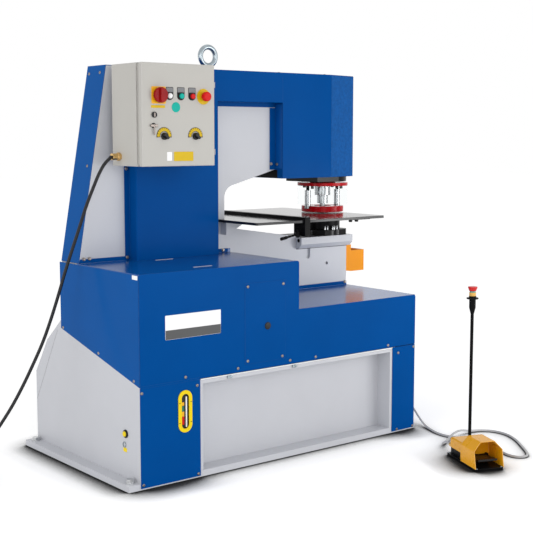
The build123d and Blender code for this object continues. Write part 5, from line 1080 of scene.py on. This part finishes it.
def make_cabinet_inside():
    group = bmesh.new()
    plate(group, on_face("front", *BACK_PLATE), *BACK_PLATE_SIZE)
    for z in RAIL_ZS:
        plate(group, on_face("front", BACK_PLATE[0], RAIL_FACE_Y, z), *RAIL_SIZE)
    add_piece("mounting_plate", group, "plate_zinc")
    group = bmesh.new()
    for z in DUCT_ZS:
        plate(group, on_face("front", BACK_PLATE[0], RAIL_FACE_Y, z), *DUCT_SIZE)
    add_piece("wire_ducts", group, "label_grey")
    groups = {kind: bmesh.new() for kind in DEVICE_LOOKS}
    for kind, x, z, width, height, depth in DEVICES:
        device(groups[kind], on_face("front", x, DEVICE_FACE_Y, z), width, height, depth)
    for kind, group in groups.items():
        add_piece("cabinet_" + kind, group, DEVICE_LOOKS[kind])
    plain = bmesh.new()
    earth = bmesh.new()
    for i in range(TERMINALS):
        place = on_face("front", TERMINAL_START_X + i * TERMINAL_STEP, DEVICE_FACE_Y, RAIL_ZS[1])
        device(earth if i % EARTH_EVERY == 0 else plain, place, *TERMINAL_SIZE)
    add_piece("cabinet_terminals", plain, "white_plastic")
    add_piece("earth_terminals", earth, "green_plastic")


def make_pedal_details():
    group = bmesh.new()
    turn = Matrix.Rotation(math.radians(PEDAL_TURN), 4, "Z")
    base = Matrix.Translation(PEDAL_PLACE) @ turn
    for x, y in PEDAL_SCREWS:
        screw(group, base @ on_face("top", x, y, PEDAL_BASE_TOP_Z), PEDAL_SCREW)
    add_piece("pedal_screws", group, "zinc")


def make_camera():
    data = bpy.data.cameras.new("camera")
    data.lens = CAMERA_LENS
    data.sensor_width = SENSOR
    data.clip_end = CAMERA_REACH
    camera = add_object("camera", data)
    azimuth = math.radians(CAMERA_AZIMUTH)
    pitch = math.radians(CAMERA_PITCH)
    level = math.cos(pitch)
    ahead = Vector((math.sin(azimuth) * level, math.cos(azimuth) * level, -math.sin(pitch)))
    camera.location = CAMERA_PLACE
    camera.rotation_mode = "QUATERNION"
    camera.rotation_quaternion = ahead.to_track_quat("-Z", "Y")
    bpy.context.scene.camera = camera


def coil_point(turn):
    """A spiral inwards on the floor, a climb in half a turn, and the same spiral outwards above it."""
    into = COIL_TURNS_A_LAYER
    centre = Vector(MAINS_POINTS[-1]) - Vector((0, COIL_TURN_RADIUS, 0))
    if turn <= into:
        radius = COIL_TURN_RADIUS - COIL_STEP * turn
        lift = 0
    elif turn <= into + COIL_CLIMB:
        share = (turn - into) / COIL_CLIMB
        radius = COIL_TURN_RADIUS - COIL_STEP * into - COIL_STEP / (2 * math.pi) * math.sin(math.pi * share)
        lift = COIL_STEP * share * share * (3 - 2 * share)
    else:
        radius = COIL_TURN_RADIUS - COIL_STEP * into + COIL_STEP * (turn - into - COIL_CLIMB)
        lift = COIL_STEP
    angle = math.pi / 2 + 2 * math.pi * turn
    return centre + Vector((radius * math.cos(angle), radius * math.sin(angle), lift))


def cord_curve(name, points, diameter, material):
    curve = bpy.data.curves.new(name, "CURVE")
    curve.dimensions = "3D"
    curve.bevel_depth = diameter / 2 * MM
    curve.bevel_resolution = CORD_BEVEL
    curve.resolution_u = CORD_STEPS
    curve.use_fill_caps = True
    spline = curve.splines.new("NURBS")
    spline.points.add(len(points) - 1)
    for target, point in zip(spline.points, points):
        target.co = (*mm(*point), 1)
    spline.order_u = CORD_ORDER
    spline.use_endpoint_u = True
    cord = add_object(name, curve)
    curve.materials.append(MATERIALS[material])
    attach(cord, "machine")
    return cord


def make_cords():
    last = 2 * COIL_TURNS_A_LAYER + COIL_CLIMB
    count = round(last * COIL_POINTS_A_TURN)
    coil = [coil_point(last * (i + 1) / count) for i in range(count)]
    ahead = (coil_point(last) - coil_point(last - COIL_BIT)).normalized()
    tail = [coil[-1] + ahead * COIL_TAIL / 2, coil[-1] + ahead * COIL_TAIL]
    mains_points = MAINS_POINTS + coil + tail
    mains = cord_curve("mains_cord", mains_points, MAINS_DIAMETER, "black_rubber")
    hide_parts("mains_cable", "mains_coil")
    pedal = cord_curve("pedal_cord", PEDAL_CABLE_POINTS, PEDAL_CABLE_DIAMETER, "grey_rubber")
    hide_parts("pedal_cable")


def contact_shadow_tone(tree):
    """A painted contact shadow: the floor's colour, darker where something stands close over it."""
    lean = add_node(tree, "ShaderNodeCombineXYZ", dict(zip("XYZ", CONTACT_LEAN)))
    inputs = {"Normal": lean.outputs["Vector"]}
    cover = add_node(tree, "ShaderNodeAmbientOcclusion", {"Distance": CONTACT_REACH}, inputs)
    cover.samples = CONTACT_SAMPLES
    return ramp(tree, cover.outputs["AO"], CONTACT_OPEN, 1.0, CONTACT_SHADOW_TONE, FLOOR_COLOUR)


def seen_rays(tree):
    """1 for rays that show the background: from the camera, in a reflection or through glass."""
    path = add_node(tree, "ShaderNodeLightPath")
    share = path.outputs["Is Camera Ray"]
    for kind in ("Is Glossy Ray", "Is Transmission Ray"):
        either = add_node(tree, "ShaderNodeMath", links={0: share, 1: path.outputs[kind]})
        either.operation = "MAXIMUM"
        share = either.outputs[0]
    return share


def show_by_ray(tree, plain, seen, out):
    """The plain shader lights the object, and the seen one is what the background shows."""
    inputs = {"Fac": seen_rays(tree), 1: plain.outputs[0], 2: seen.outputs[0]}
    mix = add_node(tree, "ShaderNodeMixShader", links=inputs)
    tree.links.new(mix.outputs[0], out.inputs["Surface"])


def make_stage():
    floor_mesh = bpy.data.meshes.new("floor")
    size = FLOOR_SIZE
    corners = [(-size, -size, 0), (size, -size, 0), (size, size, 0), (-size, size, 0)]
    floor_mesh.from_pydata(corners, [], [(0, 1, 2, 3)])
    floor = add_object("floor", floor_mesh)
    floor.location.z = -FLOOR_DROP
    material = bpy.data.materials.new("floor")
    tree = empty_tree(material)
    out = add_node(tree, "ShaderNodeOutputMaterial")
    plain = add_node(tree, "ShaderNodeBsdfDiffuse", {"Color": (*FLOOR_COLOUR, 1)})
    tone = contact_shadow_tone(tree)
    shaded = add_node(tree, "ShaderNodeBsdfDiffuse", links={"Color": tone})
    lift = add_node(tree, "ShaderNodeEmission", {"Strength": FLOOR_GLOW}, {"Color": tone})
    seen = add_node(tree, "ShaderNodeAddShader", links={0: shaded.outputs[0], 1: lift.outputs[0]})
    show_by_ray(tree, plain, seen, out)
    floor_mesh.materials.append(material)


def make_world():
    world = bpy.data.worlds.new("studio")
    bpy.context.scene.world = world
    tree = empty_tree(world)
    out = add_node(tree, "ShaderNodeOutputWorld")
    skies = []
    for strength in (WORLD_FILL, BACKDROP):
        skies.append(add_node(tree, "ShaderNodeBackground", {"Color": WORLD_COLOUR, "Strength": strength}))
    show_by_ray(tree, *skies, out)


def make_lamps():
    for name, place, aim, size, power, spread in LAMPS:
        data = bpy.data.lights.new(name, "AREA")
        data.size = size
        data.energy = power
        data.spread = math.radians(spread)
        lamp = add_object(name, data)
        lamp.location = place
        lamp.rotation_mode = "QUATERNION"
        lamp.rotation_quaternion = (Vector(aim) - Vector(place)).to_track_quat("-Z", "Y")
        lamp.visible_camera = False


bpy.context.scene.view_settings.view_transform = "Standard"
make_camera()
make_cords()
make_stage()
make_world()
make_lamps()
dress_nodes()
make_fasteners()
make_front()
make_side()
make_skirts()
make_head()
make_gusset()
make_drain()
make_gauge()
make_punch_details()
make_frame_bolts()
make_door_plates()
make_door_controls()
make_door_contacts()
make_cabinet_inside()
make_pedal_details()

bpy.context.view_layer.update()
